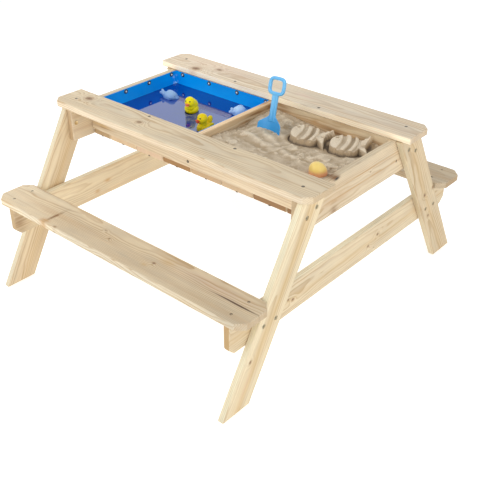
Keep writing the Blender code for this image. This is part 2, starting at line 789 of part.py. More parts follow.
def rounded_box(low, high, radius, steps):
    """Box with its upright edges rounded"""
    low, high = Vector(low), Vector(high)
    bm = bmesh.new()
    bmesh.ops.create_cube(bm, size=1, matrix=Matrix.LocRotScale((low + high) / 2, None, high - low))
    upright = [edge for edge in bm.edges if edge.verts[0].co.xy == edge.verts[1].co.xy]
    bmesh.ops.bevel(
        bm, geom=upright, offset=radius, segments=steps, profile=0.5, affect="EDGES", clamp_overlap=True
    )
    return bm


def basin_corners(inset, bottom, top):
    """Opposite corners of a box in the basin, inset from its wooden walls"""
    low = (-END_INNER + inset, -APRON_INNER + inset, bottom)
    high = (DIVIDER_LEFT - inset, APRON_INNER - inset, top)
    return low, high


def make_liner():
    """Open-topped sheet liner of the basin"""
    low, high = basin_corners(GAP, FLOOR_TOP + GAP, FRAME_TOP - LINER_RIM_DROP)
    bm = rounded_box(low, high, LINER_CORNER, LINER_CORNER_STEPS)
    lid = [face for face in bm.faces if face.normal.z > math.cos(SHARP)]
    bmesh.ops.delete(bm, geom=lid, context="FACES")
    mesh = bpy.data.meshes.new("water_liner")
    bm.to_mesh(mesh)
    bm.free()
    liner = add_object("water_liner", smooth(mesh), LINER_LOOK)
    shell = liner.modifiers.new("sheet", "SOLIDIFY")
    shell.thickness = LINER_WALL
    shell.offset = -1
    shell.use_even_offset = True
    return liner


def liner_screw_frames():
    """Frames on the inner faces of the liner's walls, aimed into the basin"""
    inset = GAP + LINER_WALL
    low, high = basin_corners(inset, 0, FRAME_TOP - LINER_SCREW_DROP)
    level = high[2]
    left = -END_INNER
    length = DIVIDER_LEFT - left
    frames = []
    for share in LINER_LENGTH_SHARES:
        for wall, inward in ((low[1], 1), (high[1], -1)):
            frames.append(aimed((left + share * length, wall, level), (0, inward, 0)))
    for share in LINER_WIDTH_SHARES:
        for wall, inward in ((low[0], 1), (high[0], -1)):
            frames.append(aimed((wall, share * APRON_INNER, level), (inward, 0, 0)))
    return frames


def fuse_liner_screws(liner, boards):
    """Cup washers and short screws in one with the liner, and the pilot holes for them"""
    fixing = turned_mesh("liner_fixing", (
        (0, WASHER_HEIGHT),
        (LINER_HEAD_RADIUS, WASHER_HEIGHT),
        (WASHER_RADIUS, 0),
        (WASHER_RADIUS, -LINER_WALL / 2),
        (LINER_SHANK_RADIUS, -LINER_WALL / 2),
        (0, -LINER_SCREW_LENGTH),
    ), WASHER_SIDES)
    hole = turned_mesh("liner_screw_hole", (
        (0, 0),
        (LINER_SHANK_RADIUS + GAP, 0),
        (LINER_SHANK_RADIUS + GAP, -LINER_WALL / 2),
        (0, -LINER_SCREW_LENGTH - 2 * GAP),
    ), WASHER_SIDES)
    frames = liner_screw_frames()
    cut(liner, [add_cutter("liner_fixings", placed_mesh("liner_fixings", fixing, frames))], "UNION")
    holes = add_cutter("liner_screw_holes", placed_mesh("liner_screw_holes", hole, frames))
    for piece in boards:
        cut(piece, [holes])


def make_water():
    """Water in the liner, up to its level"""
    inset = 2 * GAP + LINER_WALL
    low, high = basin_corners(inset, FLOOR_TOP + inset, WATER_LEVEL)
    box = rounded_box(low, high, LINER_CORNER - LINER_WALL - GAP, LINER_CORNER_STEPS)
    return add_object("water_fill", smooth(finish_mesh(box, "water_fill")), WATER_LOOK)


def place_in(left, right, shares):
    """Place in the tray at a share of the way from left to right, and of the way from its middle to a side"""
    along, across = shares
    return (left + along * (right - left), across * BOX_HALF_WIDTH)


def sand_place(shares):
    """Place on the sand, with its height"""
    x, y = place_in(SANDBOX_LEFT, SANDBOX_RIGHT, shares)
    return Vector((x, y, sand_height(x, y)))


def sand_height(x, y):
    """Height of the raked sand surface at a place in the sandbox"""
    length = SANDBOX_RIGHT - SANDBOX_LEFT
    width = 2 * BOX_HALF_WIDTH
    height = SAND_LEVEL
    for along, across, spread, rise in SAND_FORM_SHARES:
        offset_x = x - SANDBOX_LEFT - along * length
        offset_y = y + BOX_HALF_WIDTH - across * width
        reach = spread * width
        height += rise * SAND_DEPTH * math.exp(-(offset_x ** 2 + offset_y ** 2) / reach ** 2)
    turn = 2 * math.pi / RIPPLE_LENGTH
    first, second = RIPPLE_SLANT_SHARES
    ripple = math.sin(turn * (x + first * y)) * math.sin(turn * (y - second * x))
    return height + RIPPLE_HEIGHT * ripple


def make_sand():
    """Sand filling with an uneven surface"""
    bm = bmesh.new()
    bmesh.ops.create_grid(bm, x_segments=SAND_COLUMNS, y_segments=SAND_ROWS, size=1)
    middle = (SANDBOX_LEFT + SANDBOX_RIGHT) / 2
    half_length = (SANDBOX_RIGHT - SANDBOX_LEFT) / 2
    for vert in bm.verts:
        x = middle + half_length * vert.co.x
        y = BOX_HALF_WIDTH * vert.co.y
        vert.co = (x, y, sand_height(x, y))
    rim = [edge for edge in bm.edges if edge.is_boundary]
    walls = bmesh.ops.extrude_edge_only(bm, edges=rim)["geom"]
    for vert in walls:
        if isinstance(vert, bmesh.types.BMVert):
            vert.co.z = APRON_BOTTOM
    base = [edge for edge in bm.edges if edge.is_boundary]
    bmesh.ops.contextual_create(bm, geom=base)
    return add_object("sand_fill", smooth(finish_mesh(bm, "sand_fill")), SAND_LOOK)


def sand_fish_meshes():
    """One pressed fish about the origin: domed body, tail and curved ribs"""
    height, root = SAND_FISH_HEIGHT, SAND_FISH_ROOT
    profile = [(radius, share * height) for radius, share in SAND_FISH_PROFILE_SHARES]
    profile += [(1, -root), (0, -root)]
    body = turned_mesh("sand_fish_body", profile, SAND_FISH_SIDES)
    body.transform(Matrix.Diagonal((SAND_FISH_LENGTH / 2, SAND_FISH_WIDTH / 2, 1, 1)))
    thick = root + SAND_FISH_PROFILE_SHARES[-1][1] * height
    reach = SAND_FISH_LENGTH / 2 - SAND_TAIL_LAP_SHARE * SAND_TAIL_LENGTH
    points = [(reach + x * SAND_TAIL_LENGTH, y * SAND_FISH_WIDTH) for x, y in SAND_TAIL_SHARES]
    tail = outline_mesh("sand_fish_tail", points, thick)
    tail.transform(Matrix.Translation((0, 0, thick / 2 - root)))
    ribs = [sand_rib_mesh(share) for share in RIB_SHARES]
    return [body, tail] + ribs


def sand_rib_mesh(share):
    """Curved rib over the back of a pressed fish"""
    points = []
    for step in range(RIB_POINTS):
        turn = -1 + 2 * step / (RIB_POINTS - 1)
        x = SAND_FISH_LENGTH / 2 * (share - RIB_BOW_SHARE * turn ** 2)
        y = SAND_FISH_WIDTH / 2 * RIB_SPAN_SHARE * turn
        points.append((x, y, dome_height(x, y)))
    return tube_mesh("sand_fish_rib", points, RIB_RADIUS, 0)


def dome_height(x, y):
    """Height of the pressed fish's back at a place, between its profile points"""
    radius = math.hypot(2 * x / SAND_FISH_LENGTH, 2 * y / SAND_FISH_WIDTH)
    shares = SAND_FISH_PROFILE_SHARES
    for (inner, high), (outer, low) in zip(shares, shares[1:]):
        if radius <= outer:
            return SAND_FISH_HEIGHT * (high + (low - high) * (radius - inner) / (outer - inner))
    return SAND_FISH_HEIGHT * shares[-1][1]


def join_sand_fish(sand):
    """Both pressed fish, each made whole and then joined to the sand that it lies on"""
    meshes = sand_fish_meshes()
    places = zip(SAND_FISH_PLACE_SHARES, SAND_FISH_HEADINGS)
    for number, (shares, heading) in enumerate(places, start=1):
        frame = Matrix.Translation(sand_place(shares)) @ Matrix.Rotation(heading, 4, "Z")
        forms = []
        for mesh in meshes:
            name = f"{mesh.name}_{number}"
            forms.append(add_cutter(name, placed_mesh(name, mesh, [frame])))
        fish = cut(forms[0], forms[1:], "UNION")
        cut(sand, [fish], "UNION")


def blade_half_width(along):
    """Half width of the spade's blade at a share of its length, from tip to shoulders"""
    if along < BLADE_TIP_SHARE:
        share = 1 - along / BLADE_TIP_SHARE
        return BLADE_WIDTH / 2 * (1 - share ** 2 * BLADE_TIP_SHARE)
    if along > 1 - BLADE_SHOULDER_SHARE:
        share = (along - 1 + BLADE_SHOULDER_SHARE) / BLADE_SHOULDER_SHARE
        fall = (1 - math.cos(math.pi * share)) / 2
        return BLADE_WIDTH / 2 + (SHAFT_WIDTH - BLADE_WIDTH) / 2 * fall
    return BLADE_WIDTH / 2


def blade_mesh(name, grow=0.0):
    """Blade of the spade, bowed alike all along so that it draws out of its slot"""
    bm = bmesh.new()
    bmesh.ops.create_grid(bm, x_segments=BLADE_COLUMNS, y_segments=BLADE_ROWS, size=1)
    for vert in bm.verts:
        along = (vert.co.y + 1) / 2
        half = blade_half_width(along) + grow
        x = vert.co.x * half
        y = -BLADE_BOW * (2 * x / BLADE_WIDTH) ** 2
        vert.co = (x, y, -SPADE_BURIED - grow + along * (BLADE_LENGTH + grow))
    mesh = bpy.data.meshes.new(name)
    bm.to_mesh(mesh)
    bm.free()
    return mesh


def thicken(thing, thickness):
    """Sheet made solid about its own surface"""
    shell = thing.modifiers.new("sheet", "SOLIDIFY")
    shell.thickness = thickness
    shell.offset = 0
    shell.use_even_offset = True
    return thing


def spade_frame():
    """Frame of the spade: its Z axis up the shaft, its origin where it enters the sand"""
    turn = Matrix.Rotation(-SPADE_TILT, 4, "Y") @ Matrix.Rotation(-SPADE_LEAN, 4, "X")
    return Matrix.Translation(sand_place(SPADE_PLACE_SHARES)) @ turn


def loop_point(turn):
    """Point of the spade's handle, on a rounded rectangle"""
    power = 2 / LOOP_POWER
    across, up = math.cos(turn), math.sin(turn)
    half_width = LOOP_WIDTH / 2 - LOOP_RADIUS
    half_height = LOOP_HEIGHT / 2 - LOOP_RADIUS
    x = math.copysign(abs(across) ** power, across) * half_width
    z = math.copysign(abs(up) ** power, up) * half_height
    shaft_top = BLADE_LENGTH - SPADE_BURIED - SHAFT_LAP + SHAFT_LENGTH
    return (x, 0, shaft_top - LOOP_RADIUS + half_height + z)


def make_spade():
    """Toy spade in one moulding: blade, shaft and loop handle; its slot in the sand is returned"""
    frame = spade_frame()
    spade = add_object("spade", smooth(blade_mesh("spade")), SPADE_LOOK)
    spade.matrix_world = frame
    thicken(spade, BLADE_THICK)
    start = BLADE_LENGTH - SPADE_BURIED - SHAFT_LAP
    low = (-SHAFT_WIDTH / 2, -SHAFT_THICK / 2, start)
    high = (SHAFT_WIDTH / 2, SHAFT_THICK / 2, start + SHAFT_LENGTH)
    shaft = ease_edges(add_cutter("spade_shaft", box_mesh("spade_shaft", low, high)), SHAFT_EDGE)
    turns = [2 * math.pi * (step + 1 / 2) / LOOP_POINTS for step in range(LOOP_POINTS)]
    points = [loop_point(turn) for turn in turns]
    loop = add_cutter("spade_loop", tube_mesh("spade_loop", points, LOOP_RADIUS, LOOP_RESOLUTION, True))
    for piece in (shaft, loop):
        piece.matrix_world = frame
    cut(spade, (shaft, loop), "UNION")
    slot = add_cutter("spade_slot", blade_mesh("spade_slot", GAP))
    slot.matrix_world = frame
    return thicken(slot, BLADE_THICK + 2 * GAP)


def make_mould():
    """Cup-shaped mould standing upside down; the seat for it in the sand is returned"""
    outer = [(x * MOULD_RADIUS, z * MOULD_HEIGHT) for x, z in MOULD_PROFILE_SHARES]
    narrow = (MOULD_RADIUS - MOULD_WALL) / MOULD_RADIUS
    low = (MOULD_HEIGHT - MOULD_WALL) / MOULD_HEIGHT
    inner = [(x * narrow, z * low) for x, z in reversed(outer)]
    mesh = turned_mesh("orange_mould", outer + inner, MOULD_SIDES)
    floor = sand_place(MOULD_PLACE_SHARES) - Vector((0, 0, MOULD_SEAT))
    mould = add_object("orange_mould", mesh, MOULD_LOOK)
    mould.location = floor + Vector((0, 0, GAP))
    seat = turned_mesh("mould_seat", (
        (0, MOULD_HEIGHT),
        (MOULD_RADIUS + GAP, MOULD_HEIGHT),
        (MOULD_RADIUS + GAP, 0),
        (0, 0),
    ), MOULD_SIDES)
    cutter = add_cutter("mould_seat", seat)
    cutter.location = floor
    return cutter


def toy_frame(shares, heading, lift):
    """Frame of a floating toy, lifted over the water level"""
    x, y = place_in(-END_INNER, DIVIDER_LEFT, shares)
    return Matrix.Translation((x, y, WATER_LEVEL + lift)) @ Matrix.Rotation(heading, 4, "Z")


def assemble(name, forms, frame, look):
    """Toy whose forms are joined into one moulding"""
    toy = add_object(name, forms[0], look)
    toy.matrix_world = frame
    for number, form in enumerate(forms[1:], start=1):
        piece = add_cutter(f"{name}_form_{number}", form)
        piece.matrix_world = frame
        cut(toy, [piece], "UNION")
    return toy


def duck_forms():
    """Head, beak, tail and wings of a duck about the middle of its body"""
    rise = Matrix.Rotation(DUCK_TAIL_RISE, 3, "Y").to_quaternion()
    forms = [
        ellipsoid_mesh("duck_head", DUCK_HEAD, DUCK_HEAD_PLACE, HEAD_FACETS),
        ellipsoid_mesh("duck_beak", DUCK_BEAK, DUCK_BEAK_PLACE, SMALL_FACETS),
        ellipsoid_mesh("duck_tail", DUCK_TAIL, DUCK_TAIL_PLACE, SMALL_FACETS, turn=rise),
    ]
    for side in SIDES:
        x, y, z = DUCK_WING_PLACE
        forms.append(ellipsoid_mesh("duck_wing", DUCK_WING, (x, side * y, z), SMALL_FACETS))
    return forms


def make_ducks():
    """Floating ducks; the hollows that they press into the water are returned"""
    hollows = []
    for number, (shares, heading) in enumerate(zip(DUCK_PLACE_SHARES, DUCK_HEADINGS), start=1):
        frame = toy_frame(shares, heading, DUCK_FLOAT)
        body = ellipsoid_mesh("duck_body", DUCK_BODY, (0, 0, 0), BODY_FACETS)
        assemble(f"duck_{number}", [body] + duck_forms(), frame, DUCK_LOOK)
        forms = [ellipsoid_mesh("duck_hollow", DUCK_BODY, (0, 0, 0), BODY_FACETS, GAP)]
        for side in SIDES:
            x, y, z = DUCK_WING_PLACE
            wing = (x, side * y, z)
            forms.append(ellipsoid_mesh("wing_hollow", DUCK_WING, wing, SMALL_FACETS, GAP))
        for form in forms:
            hollow = add_cutter(f"duck_{number}_{form.name}", form)
            hollow.matrix_world = frame
            hollows.append(hollow)
    return hollows


def fish_tail_forms():
    """The upper and lower lobe of a toy fish's tail, both over the water"""
    lobes = []
    for rise in FISH_TAIL_RISES:
        turn = Matrix.Rotation(rise, 3, "Y")
        place = Vector(FISH_TAIL_ROOT) - turn @ Vector((FISH_TAIL_REACH_SHARE * FISH_TAIL[0], 0, 0))
        lobe = ellipsoid_mesh("fish_lobe", FISH_TAIL, place, SMALL_FACETS, turn=turn.to_quaternion())
        lobes.append(lobe)
    return lobes


def make_fish():
    """Floating fish; the hollows that they press into the water are returned"""
    hollows = []
    for number, (shares, heading) in enumerate(zip(FISH_PLACE_SHARES, FISH_HEADINGS), start=1):
        frame = toy_frame(shares, heading, FISH_FLOAT)
        body = ellipsoid_mesh("fish_body", FISH_BODY, (0, 0, 0), BODY_FACETS)
        fin = ellipsoid_mesh("fish_fin", FISH_FIN, FISH_FIN_PLACE, SMALL_FACETS)
        forms = [body] + fish_tail_forms() + [fin]
        assemble(f"fish_{number}", forms, frame, FISH_LOOK)
        pressed = ellipsoid_mesh("fish_hollow", FISH_BODY, (0, 0, 0), BODY_FACETS, GAP)
        hollow = add_cutter(f"fish_{number}_hollow", pressed)
        hollow.matrix_world = frame
        hollows.append(hollow)
    return hollows


def build():
    """Make every piece, then cut the holes, slots and hollows through the pieces that they cross"""
    tops, ends, aprons, divider = make_top_boards(), make_end_boards(), make_aprons(), make_divider()
    slats, legs, bearers, seats = make_floor_slats(), make_legs(), make_bearers(), make_seats()
    liner, water, sand = make_liner(), make_water(), make_sand()
    crossings = (
        (make_leg_bolts(), legs + ends + bearers),
        (make_top_screws(), tops + ends + aprons),
        (make_divider_screws(), aprons + [divider]),
    )
    for holes, pieces in crossings:
        for piece in pieces:
            cut(piece, [holes])
    fuse_seat_screws(seats, bearers)
    fuse_apron_screws(ends, aprons)
    fuse_slat_screws(slats, aprons)
    fuse_liner_screws(liner, [ends[0], divider] + aprons)
    join_sand_fish(sand)
    cut(sand, [make_spade(), make_mould()])
    cut(water, make_ducks() + make_fish())


build()
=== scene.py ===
"""Picture of a children's picnic table: wood, water, sand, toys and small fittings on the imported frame."""

from math import copysign, cos, pi, radians, sin, tan

import bmesh
import bpy
import numpy as np
from mathutils import Matrix, Vector, noise

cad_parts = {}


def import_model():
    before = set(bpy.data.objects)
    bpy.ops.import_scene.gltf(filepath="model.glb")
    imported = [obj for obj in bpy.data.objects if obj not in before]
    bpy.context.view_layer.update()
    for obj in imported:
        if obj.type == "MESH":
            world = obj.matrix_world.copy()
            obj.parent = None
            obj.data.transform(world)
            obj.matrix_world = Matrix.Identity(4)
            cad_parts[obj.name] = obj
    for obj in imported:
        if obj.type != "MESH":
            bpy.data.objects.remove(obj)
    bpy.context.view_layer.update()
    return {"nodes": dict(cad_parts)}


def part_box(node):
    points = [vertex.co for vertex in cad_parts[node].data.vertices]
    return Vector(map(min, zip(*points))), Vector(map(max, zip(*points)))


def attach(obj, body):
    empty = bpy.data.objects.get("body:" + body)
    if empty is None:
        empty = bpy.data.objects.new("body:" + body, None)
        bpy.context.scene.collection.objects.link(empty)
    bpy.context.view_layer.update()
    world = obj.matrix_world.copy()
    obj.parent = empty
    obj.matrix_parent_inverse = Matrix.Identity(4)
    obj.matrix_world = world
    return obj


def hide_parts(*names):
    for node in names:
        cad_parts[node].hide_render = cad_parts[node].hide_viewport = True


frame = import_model()
NODES = frame["nodes"]

SIDES = (-1, 1)
ALONG_X, ALONG_Y, UP = (1, 0, 0), (0, 1, 0), (0, 0, 1)

# Levels and faces of the frame, in metres
TOP_HEIGHT = 0.49
SEAT_HEIGHT = 0.2708
BEARER_TOP = 0.2515
FRAME_TOP = 0.4717
APRON_HEIGHT = 0.0817
TRAY_BOTTOM = 0.3717
FLOOR_TOP = 0.3897
WATER_LEVEL = 0.43
SAND_LEVEL = 0.4515
SAND_DEPTH = 0.0618
END_INNER, END_OUTER = 0.391, 0.409
LEG_OUTER = 0.4273
LEG_WIDTH = 0.0805
LEG_TOP_INNER = 0.1568
LEG_LEAN = radians(30.54)
APRON_INNER, APRON_OUTER = 0.1645, 0.1825
SEAT_INNER, SEAT_WIDTH = 0.3803, 0.112
SANDBOX_LEFT, SANDBOX_RIGHT = 0.0053, 0.3907
BOX_HALF_WIDTH = 0.1642
DIVIDER_LEFT = -0.013
LINER_THICK = 0.0018

# Middles of the boards, from which their grain is laid out
TOP_Y, TOP_Z = 0.2138, 0.481
SEAT_Y, SEAT_Z = 0.4363, 0.2613
APRON_Y, APRON_Z = 0.1735, 0.431
DIVIDER_X = -0.004
END_X, END_Z = 0.4, 0.4217
BEARER_Z = 0.2065
LEG_X, LEG_Y, LEG_Z = 0.4183, 0.3426, 0.236
SLAT_FIRST_X, SLAT_PITCH, SLAT_Z = -0.3745, 0.107, 0.3807


def metres(sizes):
    """Sizes in millimetres as metres"""
    return [size / 1000 for size in sizes]


# Node trees

def new_tree(name):
    """New material and its empty node tree"""
    made = bpy.data.materials.new(name)
    made.use_nodes = True
    made.node_tree.nodes.clear()
    return made, made.node_tree


def add(tree, kind, inputs=None, **settings):
    """Node with its settings and inputs; an input is a value or another node's socket"""
    node = tree.nodes.new("ShaderNode" + kind)
    for key, value in settings.items():
        setattr(node, key, value)
    for key, value in (inputs or {}).items():
        if isinstance(value, bpy.types.NodeSocket):
            tree.links.new(value, node.inputs[key])
        else:
            node.inputs[key].default_value = value
    return node


def result(tree, kind, inputs=None, **settings):
    """First output of a new node"""
    return add(tree, kind, inputs, **settings).outputs[0]


def tree_of(*values):
    """Node tree of the first value that is a socket"""
    return next(value.id_data for value in values if isinstance(value, bpy.types.NodeSocket))


def calc(operation, *values, clamp=False):
    """Math node's result"""
    return result(tree_of(*values), "Math", dict(enumerate(values)), operation=operation, use_clamp=clamp)


def plus(first, second):
    """Sum"""
    return calc("ADD", first, second)


def minus(first, second):
    """Difference"""
    return calc("SUBTRACT", first, second)


def times(first, second, clamp=False):
    """Product"""
    return calc("MULTIPLY", first, second, clamp=clamp)


def square(value):
    """Value times itself"""
    return times(value, value)


def hill(value):
    """Bell curve of a value"""
    return calc("EXPONENT", times(square(value), -1.0))


def centred(value, amount):
    """Noise value moved to be about zero, times an amount"""
    return times(minus(value, 0.5), amount)


def span(value, low, high, out_low=0.0, out_high=1.0, kind="SMOOTHSTEP"):
    """Value mapped from one range to another"""
    return result(tree_of(value), "MapRange", {
        "Value": value, "From Min": low, "From Max": high, "To Min": out_low, "To Max": out_high},
        interpolation_type=kind)


def rgb(red, green, blue):
    """Opaque colour"""
    return (red, green, blue, 1.0)


def blend(factor, first, second, mode="MIX"):
    """Mix of two colours"""
    inputs = {0: factor, 6: first, 7: second}
    node = add(tree_of(factor, first, second), "Mix", inputs, data_type="RGBA", blend_type=mode)
    return node.outputs[2]


def multiplied(colour, shade):
    """Colour times another colour"""
    return blend(1.0, colour, shade, "MULTIPLY")


def grey_colour(value):
    """Grey of one value"""
    return result(tree_of(value), "CombineColor", {0: value, 1: value, 2: value})


def noise_value(place, scale, shift=0.0, detail=2.0, roughness=0.5):
    """Noise texture value with one scale for each axis"""
    tree = tree_of(place)
    moved = result(tree, "Mapping", {
        "Vector": place, "Location": (shift, shift * 0.7, shift * 1.3), "Scale": scale})
    node = add(tree, "TexNoise", {"Vector": moved, "Scale": 1.0, "Detail": detail, "Roughness": roughness})
    return node.outputs["Fac"]


def object_place(tree):
    """Place on the object, which moves with it"""
    return add(tree, "TexCoord").outputs["Object"]


def bump(height, strength, distance):
    """Normal bent by a height"""
    return result(tree_of(height), "Bump", {"Height": height, "Strength": strength, "Distance": distance})


def principled(tree, **inputs):
    """Principled shader; words in an input's name are joined by underscores"""
    named = {key.replace("_", " "): value for key, value in inputs.items()}
    return result(tree, "BsdfPrincipled", named)


def finish_tree(tree, shader):
    """Shader joined to the material's output"""
    add(tree, "OutputMaterial", {"Surface": shader})


# Pine

EARLY_WOOD = rgb(0.815, 0.675, 0.475)
LATE_WOOD = rgb(0.55, 0.365, 0.185)
END_GRAIN = rgb(0.5, 0.34, 0.18)
KNOT_WOOD = rgb(0.1, 0.045, 0.022)
KNOT_CORE = rgb(0.2, 0.095, 0.045)
KNOT_HALO = rgb(0.42, 0.24, 0.115)
GREY = rgb(0.56, 0.48, 0.37)
RED = rgb(0.6, 0.37, 0.18)
GOLD = rgb(0.66, 0.44, 0.2)
PINK = rgb(0.74, 0.5, 0.38)
CREAM = rgb(0.92, 0.8, 0.6)
BROWN = rgb(0.3, 0.16, 0.07)
CRACK = rgb(0.1, 0.05, 0.025)
NEAR_BLACK = rgb(0.05, 0.035, 0.025)
UNCHANGED = (1.0, 1.0, 1.0)
RING_WIDTH = 0.0036
TAPER = 0.012


def axes_turn(grain, thick):
    """Euler angles of a board whose X runs along the grain and whose Z runs through its thickness"""
    along = Vector(grain).normalized()
    through = Vector(thick).normalized()
    across = through.cross(along)
    return Matrix((along, across, through)).transposed().to_euler()


def knot_masks(x, y, knots, wobble):
    """Bend of the rings, dark core, dark rim and halo of a board's knots"""
    bend, core, rim, halo = 0.0, 0.0, 0.0, 0.0
    for *sizes, dark in knots:
        place_x, place_y, radius = metres(sizes)
        across = minus(y, place_y)
        along = times(minus(x, place_x), 0.75)
        distance = calc("SQRT", plus(square(across), square(along)))
        share = calc("DIVIDE", times(distance, wobble), radius)
        pushed = times(hill(times(share, 0.36)), 2.1 * radius)
        edge = times(minus(share, 0.8), 4.0)
        bend = plus(bend, pushed)
        core = plus(core, times(span(share, 1.05, 0.15), dark))
        rim = plus(rim, times(hill(edge), 0.45 * dark))
        halo = plus(halo, times(span(share, 2.4, 0.7), dark))
    return bend, core, rim, halo


def growth_rings(local, x, y, z, pith, seed, bend):
    """Late wood mask of the rings about the pith"""
    sway = centred(noise_value(local, (2.4, 3.0, 3.0), seed * 3.1), 0.044)
    shake = centred(noise_value(local, (9.0, 26.0, 26.0), seed * 1.7), 0.0055)
    off_y = plus(minus(y, pith[0]), sway)
    off_z = minus(z, pith[1])
    radius = calc("SQRT", plus(square(off_y), square(off_z)))
    radius = plus(plus(radius, shake), times(x, TAPER))
    rings = calc("FRACT", calc("DIVIDE", plus(radius, bend), RING_WIDTH))
    ramp = add(tree_of(rings), "ValToRGB", {0: rings})
    ramp.color_ramp.interpolation = "EASE"
    first, last = ramp.color_ramp.elements
    first.position, first.color = 0.0, rgb(0.12, 0.12, 0.12)
    last.position, last.color = 1.0, rgb(0.1, 0.1, 0.1)
    for place, level in ((0.15, 0.0), (0.5, 0.12), (0.8, 0.85), (0.93, 1.0)):
        stop = ramp.color_ramp.elements.new(place)
        stop.color = rgb(level, level, level)
    return ramp.outputs[0]


def streaked(local, colour, seed, grey, warm, contrast):
    """Colour with grey clouds, red and cream streaks and thin dark lines along the grain"""
    mottle = noise_value(local, (6.0, 22.0, 22.0), seed * 5.3 + 3.0, 3.0, 0.6)
    colour = blend(span(mottle, 0.35, 0.72, 0.0, 0.3 + 0.5 * grey), colour, GREY)
    streak = noise_value(local, (1.8, 46.0, 46.0), seed * 4.1 + 9.0)
    colour = blend(span(streak, 0.52, 0.78, 0.0, 0.26 + warm), colour, RED)
    colour = blend(span(streak, 0.44, 0.22, 0.0, 0.38), colour, CREAM)
    line = noise_value(local, (1.5, 170.0, 170.0), seed * 6.7 + 5.0, 1.0)
    return blend(span(line, 0.6, 0.78, 0.0, 0.42 * contrast), colour, LATE_WOOD)


def marked(local, x, y, colour, patch, seed, bands, patches):
    """Colour with bands along the board and ragged patches on it"""
    for *sizes, shade, amount in bands:
        centre, width = metres(sizes)
        off = minus(plus(y, centred(patch, 0.014)), centre)
        band = times(hill(calc("DIVIDE", off, width)), amount)
        colour = blend(band, colour, shade)
    fringe = noise_value(local, (22.0, 160.0, 160.0), seed * 7.9)
    ragged = span(fringe, 0.3, 0.65, 0.55, 1.1)
    for *sizes, shade, amount in patches:
        place_x, place_y, reach_x, reach_y = metres(sizes)
        along = square(calc("DIVIDE", minus(x, place_x), reach_x))
        across = square(calc("DIVIDE", minus(y, place_y), reach_y))
        spot = calc("EXPONENT", times(plus(along, across), -1.0))
        mask = times(times(spot, ragged), amount, clamp=True)
        colour = blend(mask, colour, shade)
    return colour


def face_toned(normal, grain, thick, colour, end, end_colour, flat, edge):
    """Colour with darker end grain, and painted light and shade on the broad faces and narrow edges"""
    along = Vector(grain).normalized()
    through = Vector(thick).normalized()
    facing = []
    for axis in (along, through, through.cross(along)):
        turned = add(tree_of(normal), "VectorMath", {0: normal, 1: tuple(axis)}, operation="DOT_PRODUCT")
        facing.append(span(calc("ABSOLUTE", turned.outputs["Value"]), 0.6, 0.97))
    colour = blend(times(facing[0], end), colour, end_colour)
    # Painted light and shade: broad faces and narrow edges each lighter or darker by how the light falls on
    # them
    colour = blend(facing[1], colour, multiplied(colour, rgb(flat, flat, flat)))
    return blend(facing[2], colour, multiplied(colour, rgb(*edge)))


def pine(name, middle, grain, thick, pith, seed, tone=1.0, tint=UNCHANGED, fade=(1.0, 1.0), grey=0.0,
         warm=0.0, contrast=0.7, knots=(), bands=(), patches=(), end=0.42, end_colour=END_GRAIN, flat=1.0,
         edge=UNCHANGED):
    """Sawn pine with growth rings about the pith, streaks, fibres, knots, patches, its own tone, and painted
    light and shade

    The middle and the pith are in metres. Knots, bands and patches are in millimetres, with x along the
    grain and y across it from the middle: a knot is x, y, radius and darkness, a band is y, half width,
    colour and amount, a patch is x, y, half length, half width, colour and amount.
    """
    made, tree = new_tree(name)
    coordinates = add(tree, "TexCoord")
    local = result(tree, "Mapping", {
        "Vector": coordinates.outputs["Object"], "Location": middle, "Rotation": axes_turn(grain, thick)},
        vector_type="TEXTURE")
    x, y, z = add(tree, "SeparateXYZ", {0: local}).outputs
    wobble = span(noise_value(local, (90, 90, 90), seed), 0.0, 1.0, 0.75, 1.3, "LINEAR")
    bend, core, rim, halo = knot_masks(x, y, knots, wobble)
    patch = noise_value(local, (5.0, 14.0, 14.0), seed * 2.3)
    strength = span(patch, 0.25, 0.75, 0.35 * contrast, 1.15 * contrast)
    late = times(growth_rings(local, x, y, z, pith, seed, bend), strength)
    colour = blend(late, EARLY_WOOD, LATE_WOOD)
    colour = streaked(local, colour, seed, grey, warm, contrast)
    colour = marked(local, x, y, colour, patch, seed, bands, patches)
    fibre = noise_value(local, (12.0, 420.0, 420.0), seed, 2.0, 0.6)
    fibre_shade = span(fibre, 0.2, 0.8, 0.9, 1.08, "LINEAR")
    colour = multiplied(colour, grey_colour(fibre_shade))
    if knots:
        for mask, amount, shade in ((halo, 0.55, KNOT_HALO), (core, 0.88, KNOT_CORE), (rim, 0.85, KNOT_WOOD)):
            colour = blend(times(mask, amount, clamp=True), colour, shade)
    colour = face_toned(coordinates.outputs["Normal"], grain, thick, colour, end, end_colour, flat, edge)
    # Painted light and shade: the board lighter or darker from one end to the other
    faded = span(x, -0.4, 0.4, fade[0], fade[1], "LINEAR")
    colour = multiplied(colour, grey_colour(faded))
    colour = multiplied(colour, rgb(*(tone * share for share in tint)))
    normal = bump(plus(times(fibre, 0.7), times(late, 0.5)), 0.18, 0.0003)
    body = principled(tree, Base_Color=colour, Roughness=0.6, Normal=normal, Specular_IOR_Level=0.35)
    finish_tree(tree, body)
    return made


def paint(node, made):
    """Node of the frame shown in one material"""
    slots = NODES[node].data.materials
    slots.clear()
    slots.append(made)


def board(node, middle, grain, thick, pith, seed, **look):
    """Board of the frame painted in its own pine"""
    short = node.replace("_board", "").replace("floor_", "")
    paint(node, pine(f"pine_{short}", middle, grain, thick, pith, seed, **look))


